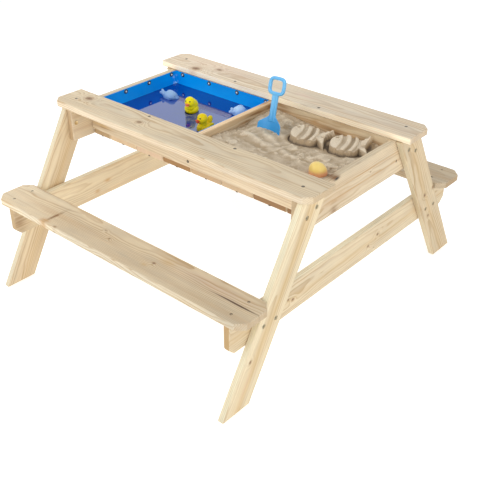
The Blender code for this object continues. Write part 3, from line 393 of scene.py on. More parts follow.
def paint_tops():
    """The two top boards"""
    board(
        "top_board_front", (0, -TOP_Y, TOP_Z), ALONG_X, UP, (0.01, -0.055), 1.3, tone=0.97,
        tint=(1.0, 0.995, 0.97), fade=(1.05, 0.95), grey=0.18, contrast=0.9, edge=(1.06, 1.08, 1.14),
        knots=((-373, 16.6, 8.5, 1.0), (-145.4, -3.6, 6, 0.85)), patches=(
            # The long cream patch by the front edge is a painted highlight along the rounded edge
            (330, -10, 55, 6, RED, 0.4), (0, -45, 500, 6, CREAM, 0.5),
            (-300, 5, 110, 16, GREY, 0.35), (120, 12, 160, 10, GREY, 0.3)))
    # Its cool tint is painted sheen
    board(
        "top_board_rear", (0, TOP_Y, TOP_Z), ALONG_X, UP, (-0.012, -0.06), 2.9, tone=1.03,
        tint=(1.0, 1.02, 1.07), fade=(1.06, 0.95), grey=0.22, contrast=0.85, edge=(1.45, 1.5, 1.52),
        knots=((-316, -36.4, 10.5, 1.0), (-253.8, 1.7, 6.8, 0.85)), patches=(
            (72, 5, 35, 10, PINK, 0.45), (-250, 20, 160, 40, PINK, 0.25),
            (250, -10, 150, 12, GREY, 0.35)))


def paint_seats():
    """The two seat boards"""
    board(
        "seat_board_front", (0, -SEAT_Y, SEAT_Z), ALONG_X, UP, (0.04, -0.042), 37.0, tone=0.97,
        tint=(1.0, 1.0, 0.98), fade=(1.1, 0.9), grey=0.2, warm=0.06, contrast=1.05, edge=(0.98, 1.02, 1.06),
        knots=((-81, 23.6, 2.4, 0.6), (-43.4, 3.3, 2.4, 0.7), (124.4, -1.3, 3, 1.0)),
        patches=(
            (-238, -22, 4.5, 32, BROWN, 1.3), (-240, -50, 14, 10, RED, 1.2),
            (379, 4.5, 50, 2.2, CRACK, 2.2), (-195, -52, 6, 4, BROWN, 0.8),
            (150, 24, 20, 10, GOLD, 0.9), (110, -22, 10, 8, GOLD, 0.6),
            (300, 20, 120, 18, PINK, 0.35), (90, -30, 200, 10, GREY, 0.35),
            (245, 56, 10, 5, BROWN, 0.7)))
    board(
        "seat_board_rear", (0, SEAT_Y, SEAT_Z), ALONG_X, UP, (0.014, -0.05), 41.0, tone=0.81,
        tint=(1.0, 0.98, 0.94), grey=0.3, warm=0.03, end=0.8, knots=((250, 10, 4, 0.7),))


def paint_tray():
    """Aprons, divider, end boards and floor slats"""
    board(
        "apron_front", (0, -APRON_Y, APRON_Z), ALONG_X, ALONG_Y, (0.05, 0.03), 3.7, fade=(0.85, 1.12),
        warm=0.1, patches=(
            (-345, 20, 40, 8, GOLD, 0.9), (-345, 26, 40, 2, BROWN, 0.8),
            (370, 0, 16, 50, RED, 0.6)))
    # The brown patches on its upper half are painted shadow on its inner face above the sand
    board(
        "apron_rear", (0, APRON_Y, APRON_Z), ALONG_X, ALONG_Y, (-0.04, 0.03), 4.3, tone=0.97,
        tint=(1.0, 0.97, 0.9), warm=0.15, contrast=0.85, bands=((-12, 8, RED, 0.55),), patches=(
            (30, -25, 40, 30, BROWN, 0.75), (149, -18, 12, 6, RED, 0.9),
            (225, -6, 25, 9, BROWN, 0.9), (190, -14, 45, 7, BROWN, 0.5),
            (345, -10, 45, 7, BROWN, 0.85)))
    # The brown patches are painted shadow on its sides just above the sand; the far one reaching its top also
    # stands for brown streaks there
    board(
        "divider_board", (DIVIDER_X, 0, APRON_Z), ALONG_Y, ALONG_X, (0.03, 0.04), 7.4,
        tint=(1.0, 0.97, 0.9), grey=0.2, warm=0.15, contrast=0.8, flat=0.92, edge=(1.3, 1.25, 1.24), patches=(
            (35, 19, 30, 4, BROWN, 1.3), (90, 29, 40, 4.5, BROWN, 1.4),
            (140, 33, 30, 10, BROWN, 1.2), (60, 37, 70, 2.2, RED, 0.9),
            (-40, 4, 70, 14, BROWN, 0.7)))
    board(
        "end_board_left", (-END_X, 0, END_Z), ALONG_Y, ALONG_X, (0.02, 0.04), 5.1, tone=0.95, warm=0.05,
        contrast=0.6, end=0.75)
    board(
        "end_board_right", (END_X, 0, END_Z), ALONG_Y, ALONG_X, (-0.016, -0.05), 6.2, tone=0.93,
        tint=(1.0, 0.985, 0.95), fade=(0.86, 1.02), warm=0.05, contrast=0.85,
        knots=((50, 5, 1.8, 0.7),), patches=(
            (-100, -10, 60, 17, RED, 0.55), (-105, -40, 14, 12, BROWN, 0.75),
            # A near-black mark with a brown one beside it, near its top towards the front
            (-108, 50, 14, 6, BROWN, 1.5), (-100, 44, 10, 4, NEAR_BLACK, 1.2),
            (30, 15, 160, 1.8, RED, 1.1), (30, -10, 170, 2, RED, 1.1)))
    # Colour of each slat's end: its end grain, darkened further as painted shade under the apron
    end_grain_and_shade = (
        (0.8, rgb(0.4, 0.25, 0.11)), (0.65, rgb(0.66, 0.47, 0.28)), (0.6, rgb(0.72, 0.5, 0.34)),
        (0.95, rgb(0.36, 0.19, 0.07)), (0.75, rgb(0.5, 0.32, 0.17)), (0.7, rgb(0.58, 0.4, 0.23)),
        (0.95, rgb(0.32, 0.17, 0.07)), (0.95, rgb(0.27, 0.14, 0.055)))
    for number, (amount, shade) in enumerate(end_grain_and_shade, start=1):
        middle = (SLAT_FIRST_X + SLAT_PITCH * (number - 1), 0, SLAT_Z)
        board(
            f"floor_slat_{number}", middle, ALONG_Y, UP, (0.05 - 0.013 * number, -0.04), 8.0 + number,
            tone=0.97 + 0.02 * (number % 3), warm=0.15, contrast=0.9, end=amount, end_colour=shade)


def paint_legs():
    """Four legs and the two cross bearers"""
    looks = (
        ("leg_front_left", -1, -1, 0.015, dict(
            tone=0.98, tint=(1.0, 1.0, 0.96), bands=((-10, 12, GOLD, 0.35),),
            patches=((20, 20, 300, 8, CREAM, 0.5),))),
        ("leg_front_right", 1, -1, 0.012, dict(
            tone=0.96, tint=(1.0, 1.005, 0.94), knots=((-140.8, 21.3, 3.4, 1.0),),
            bands=((-2, 12, GOLD, 0.55), (28, 10, CREAM, 0.45), (-28, 9, CREAM, 0.45)),
            patches=((-200, 4, 50, 3, PINK, 0.5), (170, 12, 60, 3, RED, 0.45)))),
        ("leg_rear_left", -1, 1, -0.02, dict(tone=0.94, tint=(1.0, 0.98, 0.94))),
        ("leg_rear_right", 1, 1, 0.02, dict(
            tone=0.86, tint=(1.0, 0.97, 0.88),
            knots=((24.6, 6.9, 4, 1.0), (-65, 15.5, 3.2, 1.0)),
            bands=((4, 10, GOLD, 0.4),), patches=((9.6, -35, 8, 6, BROWN, 0.9),))))
    for node, side_x, side_y, pith, look in looks:
        middle = (side_x * LEG_X, side_y * LEG_Y, LEG_Z)
        grain = (0, -side_y * sin(LEG_LEAN), cos(LEG_LEAN))
        board(
            node, middle, grain, ALONG_X, (pith, -side_x * 0.045), 20.0 + pith * 300, warm=0.03,
            contrast=0.85, edge=(1.05, 1.14, 1.22), **look)
    board(
        "bearer_left", (-END_X, 0, BEARER_Z), ALONG_Y, ALONG_X, (0.02, -0.04), 31.0, tone=0.98,
        tint=(1.0, 1.01, 0.97), warm=0.03, contrast=0.62, end=0.85, edge=(1.1, 1.2, 1.35), patches=(
            (-145, 0, 12, 6, RED, 0.9), (-187, -22, 10, 6, RED, 0.9),
            # The brown patch at its front end is painted shade
            (-470, 0, 30, 50, BROWN, 0.65)))
    board(
        "bearer_right", (END_X, 0, BEARER_Z), ALONG_Y, ALONG_X, (0.014, -0.05), 33.0, tone=0.93,
        tint=(1.0, 1.0, 0.95), warm=0.04, contrast=0.8, end=0.85, end_colour=rgb(0.47, 0.29, 0.12),
        edge=(1.14, 1.28, 1.45), bands=((-5, 10, GOLD, 0.35),), knots=(
            (-271.5, 0, 2.5, 1.0), (-253.4, -8, 3.4, 1.0), (72.6, -11.5, 3.2, 0.9),
            (116.7, 6.5, 3.4, 1.0), (102, -29, 1.8, 0.5)))


# Metal, plastic, water and sand

def plain(name, colour, roughness, metallic=0.0):
    """Even material with slight unevenness in its roughness"""
    made, tree = new_tree(name)
    cloud = noise_value(object_place(tree), (60.0, 60.0, 60.0), 4.0, 3.0)
    rough = span(cloud, 0.2, 0.8, roughness * 0.8, roughness * 1.25, "LINEAR")
    finish_tree(tree, principled(tree, Base_Color=colour, Roughness=rough, Metallic=metallic))
    return made


def liner_look():
    """Smooth blue sheet, a little uneven, with a painted highlight on the creases of its far corner"""
    made, tree = new_tree("blue_sheet")
    place = object_place(tree)
    wave = noise_value(place, (14.0, 14.0, 10.0), 2.0, 1.5)
    tint = noise_value(place, (9.0, 9.0, 20.0), 7.0)
    colour = blend(span(tint, 0.3, 0.7), rgb(0.0, 0.31, 0.86), rgb(0.0, 0.36, 0.94))
    x, y, z = add(tree, "SeparateXYZ", {0: place}).outputs
    # Painted highlight: pale blue on the creases in the far left corner
    corner = times(span(x, -0.378, -0.388), span(y, 0.14, 0.152))
    crease = noise_value(place, (160.0, 160.0, 60.0), 3.0)
    shine = times(corner, span(crease, 0.5, 0.66))
    shine = times(shine, span(z, 0.462, 0.448))
    colour = blend(times(shine, 0.75), colour, rgb(0.5, 0.78, 1.0))
    finish_tree(tree, principled(
        tree, Base_Color=colour, Roughness=0.26, Normal=bump(wave, 0.35, 0.004),
        Specular_Tint=rgb(0.35, 0.7, 1.0)))
    return made


def water_look():
    """Still water over the blue sheet: a deep blue body under a strong mirror"""
    made, tree = new_tree("still_water")
    wave = noise_value(object_place(tree), (16.0, 16.0, 16.0), 5.0, 1.0)
    normal = bump(wave, 0.1, 0.0012)
    body = principled(
        tree, Base_Color=rgb(0.0, 0.022, 0.3), Roughness=0.5, Specular_IOR_Level=0.0, Normal=normal)
    mirror = result(tree, "BsdfGlossy", {"Color": rgb(0.9, 1.0, 1.0), "Roughness": 0.01, "Normal": normal})
    share = result(tree, "Fresnel", {"IOR": 2.5, "Normal": normal})
    finish_tree(tree, result(tree, "MixShader", {0: share, 1: body, 2: mirror}))
    return made


def sand_look():
    """Beige sand with grains, with painted light on its crests and painted shade in its hollows, on its
    slopes and along its walls
    """
    made, tree = new_tree("damp_sand")
    place = object_place(tree)
    # Painted light and shade of the sand, given at each point of its mesh
    dry = add(tree, "Attribute", attribute_name="dry").outputs["Fac"]
    grain = add(tree, "TexVoronoi", {"Vector": place, "Scale": 900.0}, feature="F1")
    cloud = noise_value(place, (28.0, 28.0, 28.0), 3.0, 4.0, 0.6)
    fine = noise_value(place, (420.0, 420.0, 420.0), 6.0, 3.0, 0.7)
    mixed = plus(dry, centred(cloud, 0.55))
    colour = blend(span(mixed, 0.1, 0.9), rgb(0.47, 0.355, 0.225), rgb(0.88, 0.75, 0.565))
    # Painted shade: darkest brown where the painted light falls below zero, in deep hollows, grooves and the
    # fish's eyes
    colour = blend(span(dry, 0.0, -0.6), colour, rgb(0.17, 0.13, 0.09))
    colour = blend(span(fine, 0.35, 0.7, 0.0, 0.35), colour, rgb(0.46, 0.35, 0.24))
    height = plus(times(grain.outputs["Distance"], 0.5), fine)
    finish_tree(tree, principled(
        tree, Base_Color=colour, Roughness=0.95, Normal=bump(height, 0.9, 0.0012),
        Specular_IOR_Level=0.2))
    return made


def graded(name, low, high, bottom, top, roughness, painted_rim_light=0.0, soft=0.0, shine=0.5):
    """Colour that runs from one to another over a height, with a painted pale highlight along its outline
    when one is asked for
    """
    made, tree = new_tree(name)
    height = add(tree, "SeparateXYZ", {0: object_place(tree)}).outputs[2]
    colour = blend(span(height, bottom, top), low, high)
    if painted_rim_light:
        # Painted highlight: pale colour along the outline, by a Fresnel mask
        rim = result(tree, "Fresnel", {"IOR": 1.35})
        colour = blend(times(rim, painted_rim_light), colour, rgb(0.95, 0.8, 0.62))
    finish_tree(tree, principled(
        tree, Base_Color=colour, Roughness=roughness, Subsurface_Weight=soft,
        Subsurface_Radius=(0.01, 0.006, 0.003), Subsurface_Scale=0.6, Specular_IOR_Level=shine))
    return made


# Meshes

def new_object(name, bm, made, smooth=True):
    """Object from a finished bmesh"""
    bmesh.ops.recalc_face_normals(bm, faces=bm.faces)
    mesh = bpy.data.meshes.new(name)
    bm.to_mesh(mesh)
    bm.free()
    if smooth:
        mesh.shade_smooth()
        mesh.set_sharp_from_angle(angle=radians(38))
    piece = bpy.data.objects.new(name, mesh)
    bpy.context.scene.collection.objects.link(piece)
    mesh.materials.append(made)
    return piece


def skin_rings(bm, rings, closed=False):
    """Faces between rings of vertices, which run on to the first ring or end in caps"""
    after = rings[1:] + rings[:1] if closed else rings[1:]
    for lower, upper in zip(rings, after):
        count = len(lower)
        for step in range(count):
            ahead = (step + 1) % count
            bm.faces.new((lower[step], lower[ahead], upper[ahead], upper[step]))
    if not closed:
        bm.faces.new(rings[0])
        bm.faces.new(rings[-1])


def turns(count):
    """Angles of equal steps round a full turn"""
    return [2 * pi * step / count for step in range(count)]


def add_turned(bm, profile, sides, place, lobes=0, depth=0.0, lobe_from=0):
    """Rings of a profile about Z; rings from an index on take a lobed outline"""
    rings = []
    for index, (radius, height) in enumerate(map(metres, profile)):
        ring = []
        for turn in turns(sides):
            reach = radius
            if lobes and index >= lobe_from:
                reach = radius * (1 + depth * cos(lobes * turn))
            point = Vector((reach * cos(turn), reach * sin(turn), height))
            ring.append(bm.verts.new(place @ point))
        rings.append(ring)
    skin_rings(bm, rings)


def aimed(place, direction):
    """Frame at a place with its Z axis along a direction"""
    return Matrix.LocRotScale(Vector(place), Vector(direction).to_track_quat("Z", "Y"), None)


def rounded(forms, rows=24):
    """Mesh of rounded forms, each with its half axes and place in millimetres and a turn if it has one"""
    bm = bmesh.new()
    for half_axes, place, *turn in forms:
        at, size = Vector(metres(place)), Vector(metres(half_axes))
        matrix = Matrix.LocRotScale(at, turn[0] if turn else None, size)
        bmesh.ops.create_uvsphere(bm, u_segments=2 * rows, v_segments=rows, radius=1, matrix=matrix)
    return bm


def soften(piece, voxel, rounds):
    """Joined forms melted into one soft skin"""
    remesh = piece.modifiers.new("skin", "REMESH")
    remesh.mode = "VOXEL"
    remesh.voxel_size = voxel
    remesh.use_smooth_shade = True
    relax = piece.modifiers.new("relax", "SMOOTH")
    relax.factor = 0.5
    relax.iterations = rounds
    return piece


# Screws and bolts, with profiles of radius and height in millimetres

SCREW_PROFILE = ((3.8, -2), (4, 0.1), (3.6, 0.3), (1.9, 0.2), (1.3, -1.2))
BOLT_PROFILE = ((5.4, -4.4), (6.1, -3.6), (6.1, -2), (5.6, -1.3), (3.6, -1.2), (3.3, -1.4), (3, -3.4))
SHANK_PROFILE = ((3, -34), (3, -3))
NUT_PROFILE = ((5, 1), (6.1, 1.2), (6.1, -0.6), (5.7, -1.2), (3.4, -1.2), (3.1, 0.6))
WASHER_PROFILE = ((7, -0.4), (7, 0.4), (6.3, 1.5), (4.9, 2.1), (3.4, 1.9), (2.9, 1.3))
LINER_SCREW_PROFILE = ((2.9, 0.8), (2.8, 2), (2.2, 2.5), (1, 2.6), (0.6, 1.9))
HEAD_SINK, HEAD_RISE = 0.0006, 0.0001
TOP_END_SCREW_Y = 0.22101
TOP_APRON_SCREW_X = 0.153
SLAT_SCREWS_X = (-0.356, -0.2675, -0.1605, -0.0535, 0.0535, 0.1605, 0.2675, 0.356)


def screw_heads():
    """Countersunk heads with a star recess, where the frame has its screws"""
    steel = plain("screw_steel", rgb(0.085, 0.065, 0.045), 0.5, 0.2)
    bm = bmesh.new()
    frames = []
    for side_x in SIDES:
        for side_y in SIDES:
            frames.append(aimed((side_x * END_X, side_y * TOP_END_SCREW_Y, TOP_HEIGHT), UP))
            frames.append(aimed((side_x * TOP_APRON_SCREW_X, side_y * APRON_Y, TOP_HEIGHT), UP))
            for share in (0.238, 0.774):
                across = side_y * (SEAT_INNER + share * SEAT_WIDTH)
                frames.append(aimed((side_x * END_X, across, SEAT_HEIGHT - HEAD_SINK), UP))
            for share in (0.26, 0.75):
                place = (side_x * (END_OUTER - HEAD_SINK), side_y * APRON_Y, FRAME_TOP - share * APRON_HEIGHT)
                frames.append(aimed(place, (side_x, 0, 0)))
    for side in SIDES:
        for share in (0.324, 0.785):
            place = (DIVIDER_X, side * (APRON_OUTER + HEAD_RISE), FRAME_TOP - share * APRON_HEIGHT)
            frames.append(aimed(place, (0, side, 0)))
        for middle in SLAT_SCREWS_X:
            frames.append(aimed((middle, side * APRON_Y, TRAY_BOTTOM + HEAD_SINK), (0, 0, -1)))
    for place in frames:
        add_turned(bm, SCREW_PROFILE, 18, place, 6, 0.16, 3)
    heads = new_object("screw_heads", bm, steel)
    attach(heads, "table")


def leg_middle(level):
    """Distance of a leg's middle line from the table's middle plane at a height"""
    section = LEG_WIDTH / cos(LEG_LEAN)
    return LEG_TOP_INNER + section / 2 + tan(LEG_LEAN) * (FRAME_TOP - level)


def leg_bolts():
    """Bolt heads with a six-sided socket outside the legs, and round sleeve nuts inside"""
    steel = plain("bolt_steel", rgb(0.44, 0.39, 0.27), 0.34, 0.6)
    brass = plain("nut_brass", rgb(0.74, 0.6, 0.36), 0.24, 0.95)
    bm, nuts = bmesh.new(), bmesh.new()
    # Level of each bolt of a leg and its distance from the leg's middle line
    places = ((FRAME_TOP - 0.0327, -0.0213), (FRAME_TOP - 0.0472, 0.0057),
              (BEARER_TOP - 0.049, -0.0213), (BEARER_TOP - 0.049, 0.0227))
    for side_x in SIDES:
        for side_y in SIDES:
            for level, offset in places:
                across = side_y * (leg_middle(level) + offset)
                outside = aimed((side_x * LEG_OUTER, across, level), (side_x, 0, 0))
                add_turned(bm, BOLT_PROFILE, 36, outside, 6, 0.055, 5)
                inside = aimed((side_x * END_INNER, across, level), (-side_x, 0, 0))
                add_turned(nuts, NUT_PROFILE, 36, inside)
                add_turned(bm, SHANK_PROFILE, 12, outside)
    bolts = new_object("leg_bolts", bm, steel)
    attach(bolts, "table")
    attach(new_object("sleeve_nuts", nuts, brass), "table")
    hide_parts(*[f"leg_bolt_{number}" for number in range(1, 17)])


def cup_washers():
    """Cup washers with screws on the liner's walls: the washers dark as painted shade and reflection of their
    dark surroundings, the screws near white as a painted reflection of the sky
    """
    # Painted reflections: dark for the chrome washers, near white for their screws
    dark = plain("washer_steel", rgb(0.035, 0.04, 0.06), 0.35, 0.2)
    painted_sky_white = plain("washer_screw", rgb(0.95, 0.94, 0.93), 0.35, 0.3)
    washers, screws = bmesh.new(), bmesh.new()
    level = FRAME_TOP - 0.009
    left, right = LINER_THICK - END_INNER, DIVIDER_LEFT - LINER_THICK
    frames = []
    for share in (0.082, 0.378, 0.675, 0.966):
        x = share * (DIVIDER_LEFT + END_INNER) - END_INNER
        for side in SIDES:
            frames.append(aimed((x, side * (APRON_INNER - LINER_THICK), level), (0, -side, 0)))
    for share in (-0.863, -0.286, 0.286, 0.863):
        frames.append(aimed((left, share * APRON_INNER, level), (1, 0, 0)))
        frames.append(aimed((right, share * APRON_INNER, level), (-1, 0, 0)))
    for place in frames:
        add_turned(washers, WASHER_PROFILE, 28, place)
        add_turned(screws, LINER_SCREW_PROFILE, 20, place, 6, 0.14, 3)
    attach(new_object("cup_washers", washers, dark), "table")
    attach(new_object("liner_screw_heads", screws, painted_sky_white), "table")


# Sand

SAND_COLUMNS, SAND_ROWS = 400, 342
# Broad forms: place along and across, spread and rise, as shares of the sand's length, width and depth
SAND_FORM_SHARES = (
    (0.3, 1.05, 0.17, -0.16), (0.5, 1.05, 0.17, -0.27), (0.7, 1.05, 0.17, -0.16),
    (0.97, 0.9, 0.12, -0.16), (0.52, 0.72, 0.22, -0.16), (0.84, 0.74, 0.2, -0.16),
    (-0.02, 0.58, 0.12, -0.17), (0.26, 0.79, 0.08, -0.14), (0.3, 0.62, 0.1, 0.06),
    (0.1, 0.2, 0.2, 0.05), (0.6, 0.15, 0.22, -0.06), (0.92, 0.25, 0.24, -0.06),
)
# Small mounds and hollows in millimetres: place, half length, half width, rise, and heading in degrees
SAND_LUMPS = (
    (59, -20, 28, 12, 4, -12), (100, -30, 30, 11, 4.2, -18), (150, -36, 30, 12, 3.8, -8),
    (200, -40, 22, 10, 3, -25), (80, -52, 40, 10, -3.5, -10), (155, -62, 40, 10, -3.5, -14),
    (60, -90, 45, 14, 3, -14), (135, -98, 45, 14, 2.6, -10), (225, -20, 30, 14, -3, -20),
    (280, 16, 13, 10, 4, 0), (262, -46, 40, 20, 2, -22), (120, 4, 35, 12, 3, -20),
    (60, 30, 30, 18, 3, 20), (150, 82, 18, 30, -6, -30), (80, 110, 30, 16, -3, 0),
    (363, -67, 8, 6, -4, 0), (378, -80, 10, 6, -4, 20), (250, 70, 10, 22, -3, 8),
    (360, 30, 20, 30, 3, 0), (375, 100, 12, 30, 4, 0), (40, 90, 20, 14, 3, 10),
    (20, -130, 30, 16, -2, 0),
)
# Darker spots in the sand beside the mould: place and reach
DARK_SPOTS = ((0.372, -0.073, 0.006), (0.383, -0.064, 0.005), (0.387, -0.082, 0.006), (0.35, -0.04, 0.003))
# Fish pressed out of the sand: centre, heading, eye and curve of the ribs
PRESSED_FISH = (
    ((0.19607, 0.06995), radians(18), (-0.031, 0.015), (4.6, 0.02)),
    ((0.30938, 0.08801), radians(27), (-0.028, 0.016), (5.2, -0.12)))
# Grooves between the ribs: from, to and depth
GROOVES = ((-0.014, -0.004, 0.0044), (0.0085, 0.0175, 0.0068), (0.0275, 0.0335, 0.0046))
GROOVE_EDGE = 0.0018


def bell(value, width):
    """Bell curve of arrays about zero"""
    return np.exp(-(value / width) ** 2)


def step_up(value, low, high):
    """Smooth step from 0 to 1"""
    share = np.clip((value - low) / (high - low), 0, 1)
    return share * share * (3 - 2 * share)


def sand_base(x, y):
    """Height of the sand before its lumps and grains, at arrays of places"""
    length = SANDBOX_RIGHT - SANDBOX_LEFT
    width = 2 * BOX_HALF_WIDTH
    height = np.full(x.shape, SAND_LEVEL)
    for along, across, spread, rise in SAND_FORM_SHARES:
        off_x = x - SANDBOX_LEFT - along * length
        off_y = y + BOX_HALF_WIDTH - across * width
        height += rise * SAND_DEPTH * np.exp(-(off_x ** 2 + off_y ** 2) / (spread * width) ** 2)
    turn = 2 * pi / 0.055
    return height + 0.0008 * np.sin(turn * (x + 0.5 * y)) * np.sin(turn * (y - 0.33 * x))


def turned_by(x, y, centre, heading):
    """Coordinates along and across a heading, from a centre"""
    cosine, sine = cos(heading), sin(heading)
    off_x, off_y = x - centre[0], y - centre[1]
    return off_x * cosine + off_y * sine, -off_x * sine + off_y * cosine


def sand_lumps(x, y):
    """Rise of the small mounds and hollows"""
    rise = np.zeros_like(x)
    for *sizes, heading in SAND_LUMPS:
        place_x, place_y, half_length, half_width, amount = metres(sizes)
        u, v = turned_by(x, y, (place_x, place_y), radians(heading))
        rise += amount * np.exp(-(u / half_length) ** 2 - (v / half_width) ** 2)
    return rise


def fish_relief(x, y, centre, heading, eye, curve):
    """Height, cover and shade of a fish pressed out of wet sand, with crescent ribs, eye and forked tail"""
    u, v = turned_by(x, y, centre, heading)
    half_width = np.where(v < 0, 0.0415, 0.04)
    half_length = np.where(u > 0, 0.0345, 0.0455)
    power = np.where(v < 0, 2.8, 2.2)
    body = (np.abs(u / half_length) ** power + np.abs(v / half_width) ** power) ** (1 / power)
    inside = step_up(1.02 - body, 0.0, 0.035)
    dome = 0.019 + 0.0065 * np.sqrt(np.clip(1 - body ** 2, 0, 1)) + 0.004 * v / half_width
    line = u + curve[0] * v * v + curve[1] * v
    carved = np.zeros_like(u)
    for low, high, depth in GROOVES:
        begun = step_up(line, low - GROOVE_EDGE, low + GROOVE_EDGE)
        ended = step_up(line, high - GROOVE_EDGE, high + GROOVE_EDGE)
        carved += depth * begun * (1 - ended)
    rim = 0.001 * bell(line + 0.017, 0.0022)
    hole = np.hypot(u - eye[0], v - eye[1])
    sight = -0.0055 * bell(hole, 0.003) + 0.0008 * bell(hole - 0.0058, 0.0016)
    shape = inside * (dome - carved + rim + sight)
    flare = 0.0175 + (u - 0.029) * 1.25
    reach = 0.0465 + 0.24 * np.abs(v)
    tail = step_up(flare - np.abs(v), 0.0, 0.002)
    tail *= step_up(u, 0.025, 0.028) * step_up(reach - u, 0.0, 0.002)
    hollow = 0.005 * bell(v, 0.0075) * step_up(u, 0.033, 0.042)
    hollow += 0.0012 * np.sin(np.abs(v) * 520) * step_up(u, 0.034, 0.04)
    shape = np.maximum(shape, tail * (0.0185 + 0.0025 * v / half_width - hollow))
    moat = bell(np.minimum(np.abs(body - 1.07) / 0.045, 3.0), 1.0) * (1 - tail)
    # Painted shade in the moat round the fish, in its grooves and its eye, painted light on its top and tail
    shade = -0.4 * moat - 0.4 * inside * carved / 0.007 - 1.5 * bell(hole, 0.0032)
    shade += 0.25 * inside * (body < 0.96) + 0.26 * tail - 0.3 * hollow / 0.005 * tail
    return shape - 0.0028 * moat, np.clip(np.maximum(inside, tail), 0, 1), shade


def fractal(points, size, octaves, shift):
    """Sum of noise octaves at points"""
    return np.array([
        noise.fractal((x / size + shift, y / size - shift, shift), 0.9, 2.1, octaves) for x, y in points])


def blurred(grid, cells):
    """Grid of heights averaged over a square of cells"""
    padded = np.pad(grid, cells, mode="edge")
    total = np.zeros_like(grid)
    for row in range(0, 2 * cells + 1, 2):
        for column in range(0, 2 * cells + 1, 2):
            total += padded[row:row + grid.shape[0], column:column + grid.shape[1]]
    return total / (cells + 1) ** 2


def sand_surface(x, y, crumb):
    """Height of the finished sand, cover of the pressed fish and their shade"""
    points = list(zip(x, y))
    base = sand_base(x, y)
    height = base + sand_lumps(x, y)
    broad = fractal(points, 0.036, 2, 3.7)
    shelf = fractal(points, 0.045, 2, 5.3)
    crisp = step_up(shelf, -0.05, 0.1) + step_up(shelf, 0.38, 0.5)
    front = step_up(0.03 - y, -0.02, 0.04)
    height += 0.0014 * broad + 0.0022 * (crisp - 0.8) * (0.35 + 0.65 * front)
    rough = step_up(fractal(points, 0.055, 2, 1.9), -0.05, 0.3)
    pressed, cover, shade = np.zeros_like(x), np.zeros_like(x), np.zeros_like(x)
    for fish in PRESSED_FISH:
        relief, over, dark = fish_relief(x, y, *fish)
        pressed += relief
        shade += dark
        cover = np.maximum(cover, over)
    height = height * (1 - cover) + base * cover + pressed
    height += (0.0006 * crumb + 0.003 * rough * np.clip(crumb - 0.05, 0, 0.6)) * (1 - 0.85 * cover)
    free = (y < 0.025) & (x < 0.308)
    return np.where(free, np.minimum(height, 0.4565), height), cover, shade


def sand_painted_light(x, y, xs, ys, height, cover, shade, crumb):
    """Painted light and shade of the sand: painted light on crests and on the pressed fish's tops, painted
    shade on steep places, in the fish's grooves and moats and along the walls, and a few darker spots beside
    the mould
    """
    surface = height.reshape(SAND_ROWS, SAND_COLUMNS)
    relief = (surface - blurred(surface, 14)).ravel() * (1 - cover)
    fall = np.gradient(surface, ys, xs)
    steep = np.hypot(fall[0], fall[1]).ravel()
    # Painted light on crests, painted shade on steep places, and the painted shade and light of the pressed
    # fish
    dry = 0.45 + relief / 0.0065 + shade - 0.18 * step_up(steep, 0.5, 2.0)
    # Darker spots beside the mould
    for place_x, place_y, reach in DARK_SPOTS:
        spot = np.exp(-((x - place_x) ** 2 + (y - place_y) ** 2) / reach ** 2)
        dry -= 1.6 * spot * (crumb > -0.2)
    # Painted shadow on the sand along the divider and the far wall
    wall_shadow = step_up(0.004 - np.minimum(x - SANDBOX_LEFT, BOX_HALF_WIDTH - y), 0.0, 0.003)
    return np.clip(dry - 0.5 * wall_shadow, -0.6, 1.0)


def sand_piece():
    """Raked sand with crumbs and two pressed fish"""
    xs = np.linspace(SANDBOX_LEFT, SANDBOX_RIGHT, SAND_COLUMNS)
    ys = np.linspace(-BOX_HALF_WIDTH, BOX_HALF_WIDTH, SAND_ROWS)
    x, y = (grid.ravel() for grid in np.meshgrid(xs, ys))
    crumb = fractal(list(zip(x, y)), 0.0085, 3, 8.1)
    height, cover, shade = sand_surface(x, y, crumb)
    dry = sand_painted_light(x, y, xs, ys, height, cover, shade, crumb)
    bm = bmesh.new()
    top = [bm.verts.new(point) for point in zip(x, y, height)]
    for row in range(SAND_ROWS - 1):
        for column in range(SAND_COLUMNS - 1):
            at = row * SAND_COLUMNS + column
            bm.faces.new((top[at], top[at + 1], top[at + SAND_COLUMNS + 1], top[at + SAND_COLUMNS]))
    rim = [edge for edge in bm.edges if edge.is_boundary]
    walls = bmesh.ops.extrude_edge_only(bm, edges=rim)["geom"]
    for vert in walls:
        if isinstance(vert, bmesh.types.BMVert):
            vert.co.z = FLOOR_TOP + 0.0003
    base = [edge for edge in bm.edges if edge.is_boundary]
    bmesh.ops.contextual_create(bm, geom=base)
    sand = new_object("raked_sand", bm, sand_look())
    # The sand's painted light and shade, kept at each point for its material
    values = np.zeros(len(sand.data.vertices))
    values[:len(dry)] = dry
    sand.data.attributes.new("dry", "FLOAT", "POINT").data.foreach_set("value", values)
    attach(sand, "table")
    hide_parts("sand_fill")


# Toys

# Ducks: place, heading, turn of the head, neck in millimetres, lower and upper yellow, beak; the lower yellow
# is painted shade, and the second duck's darker yellows and beak are painted shade too
DUCKS = (
    ((-0.192928, 0.0259436), -60, -12, Vector((10.5, 0, 28)),
     rgb(0.84, 0.64, 0.0), rgb(0.98, 0.83, 0.002), rgb(0.82, 0.24, 0.08)),
    ((-0.07915, -0.0379302), -88, -8, Vector((8.5, 0, 27)),
     rgb(0.66, 0.37, 0.0), rgb(0.86, 0.64, 0.002), rgb(0.6, 0.055, 0.008)))
# Fish: place, heading, lower and upper blue; the lower blue is painted shade
TOY_FISH = (
    ((-0.3160048, 0.0660084), 18, rgb(0.13, 0.26, 0.55), rgb(0.32, 0.5, 0.76)),
    ((-0.082552, 0.1129696), 78, rgb(0.27, 0.45, 0.78), rgb(0.56, 0.75, 0.97)))


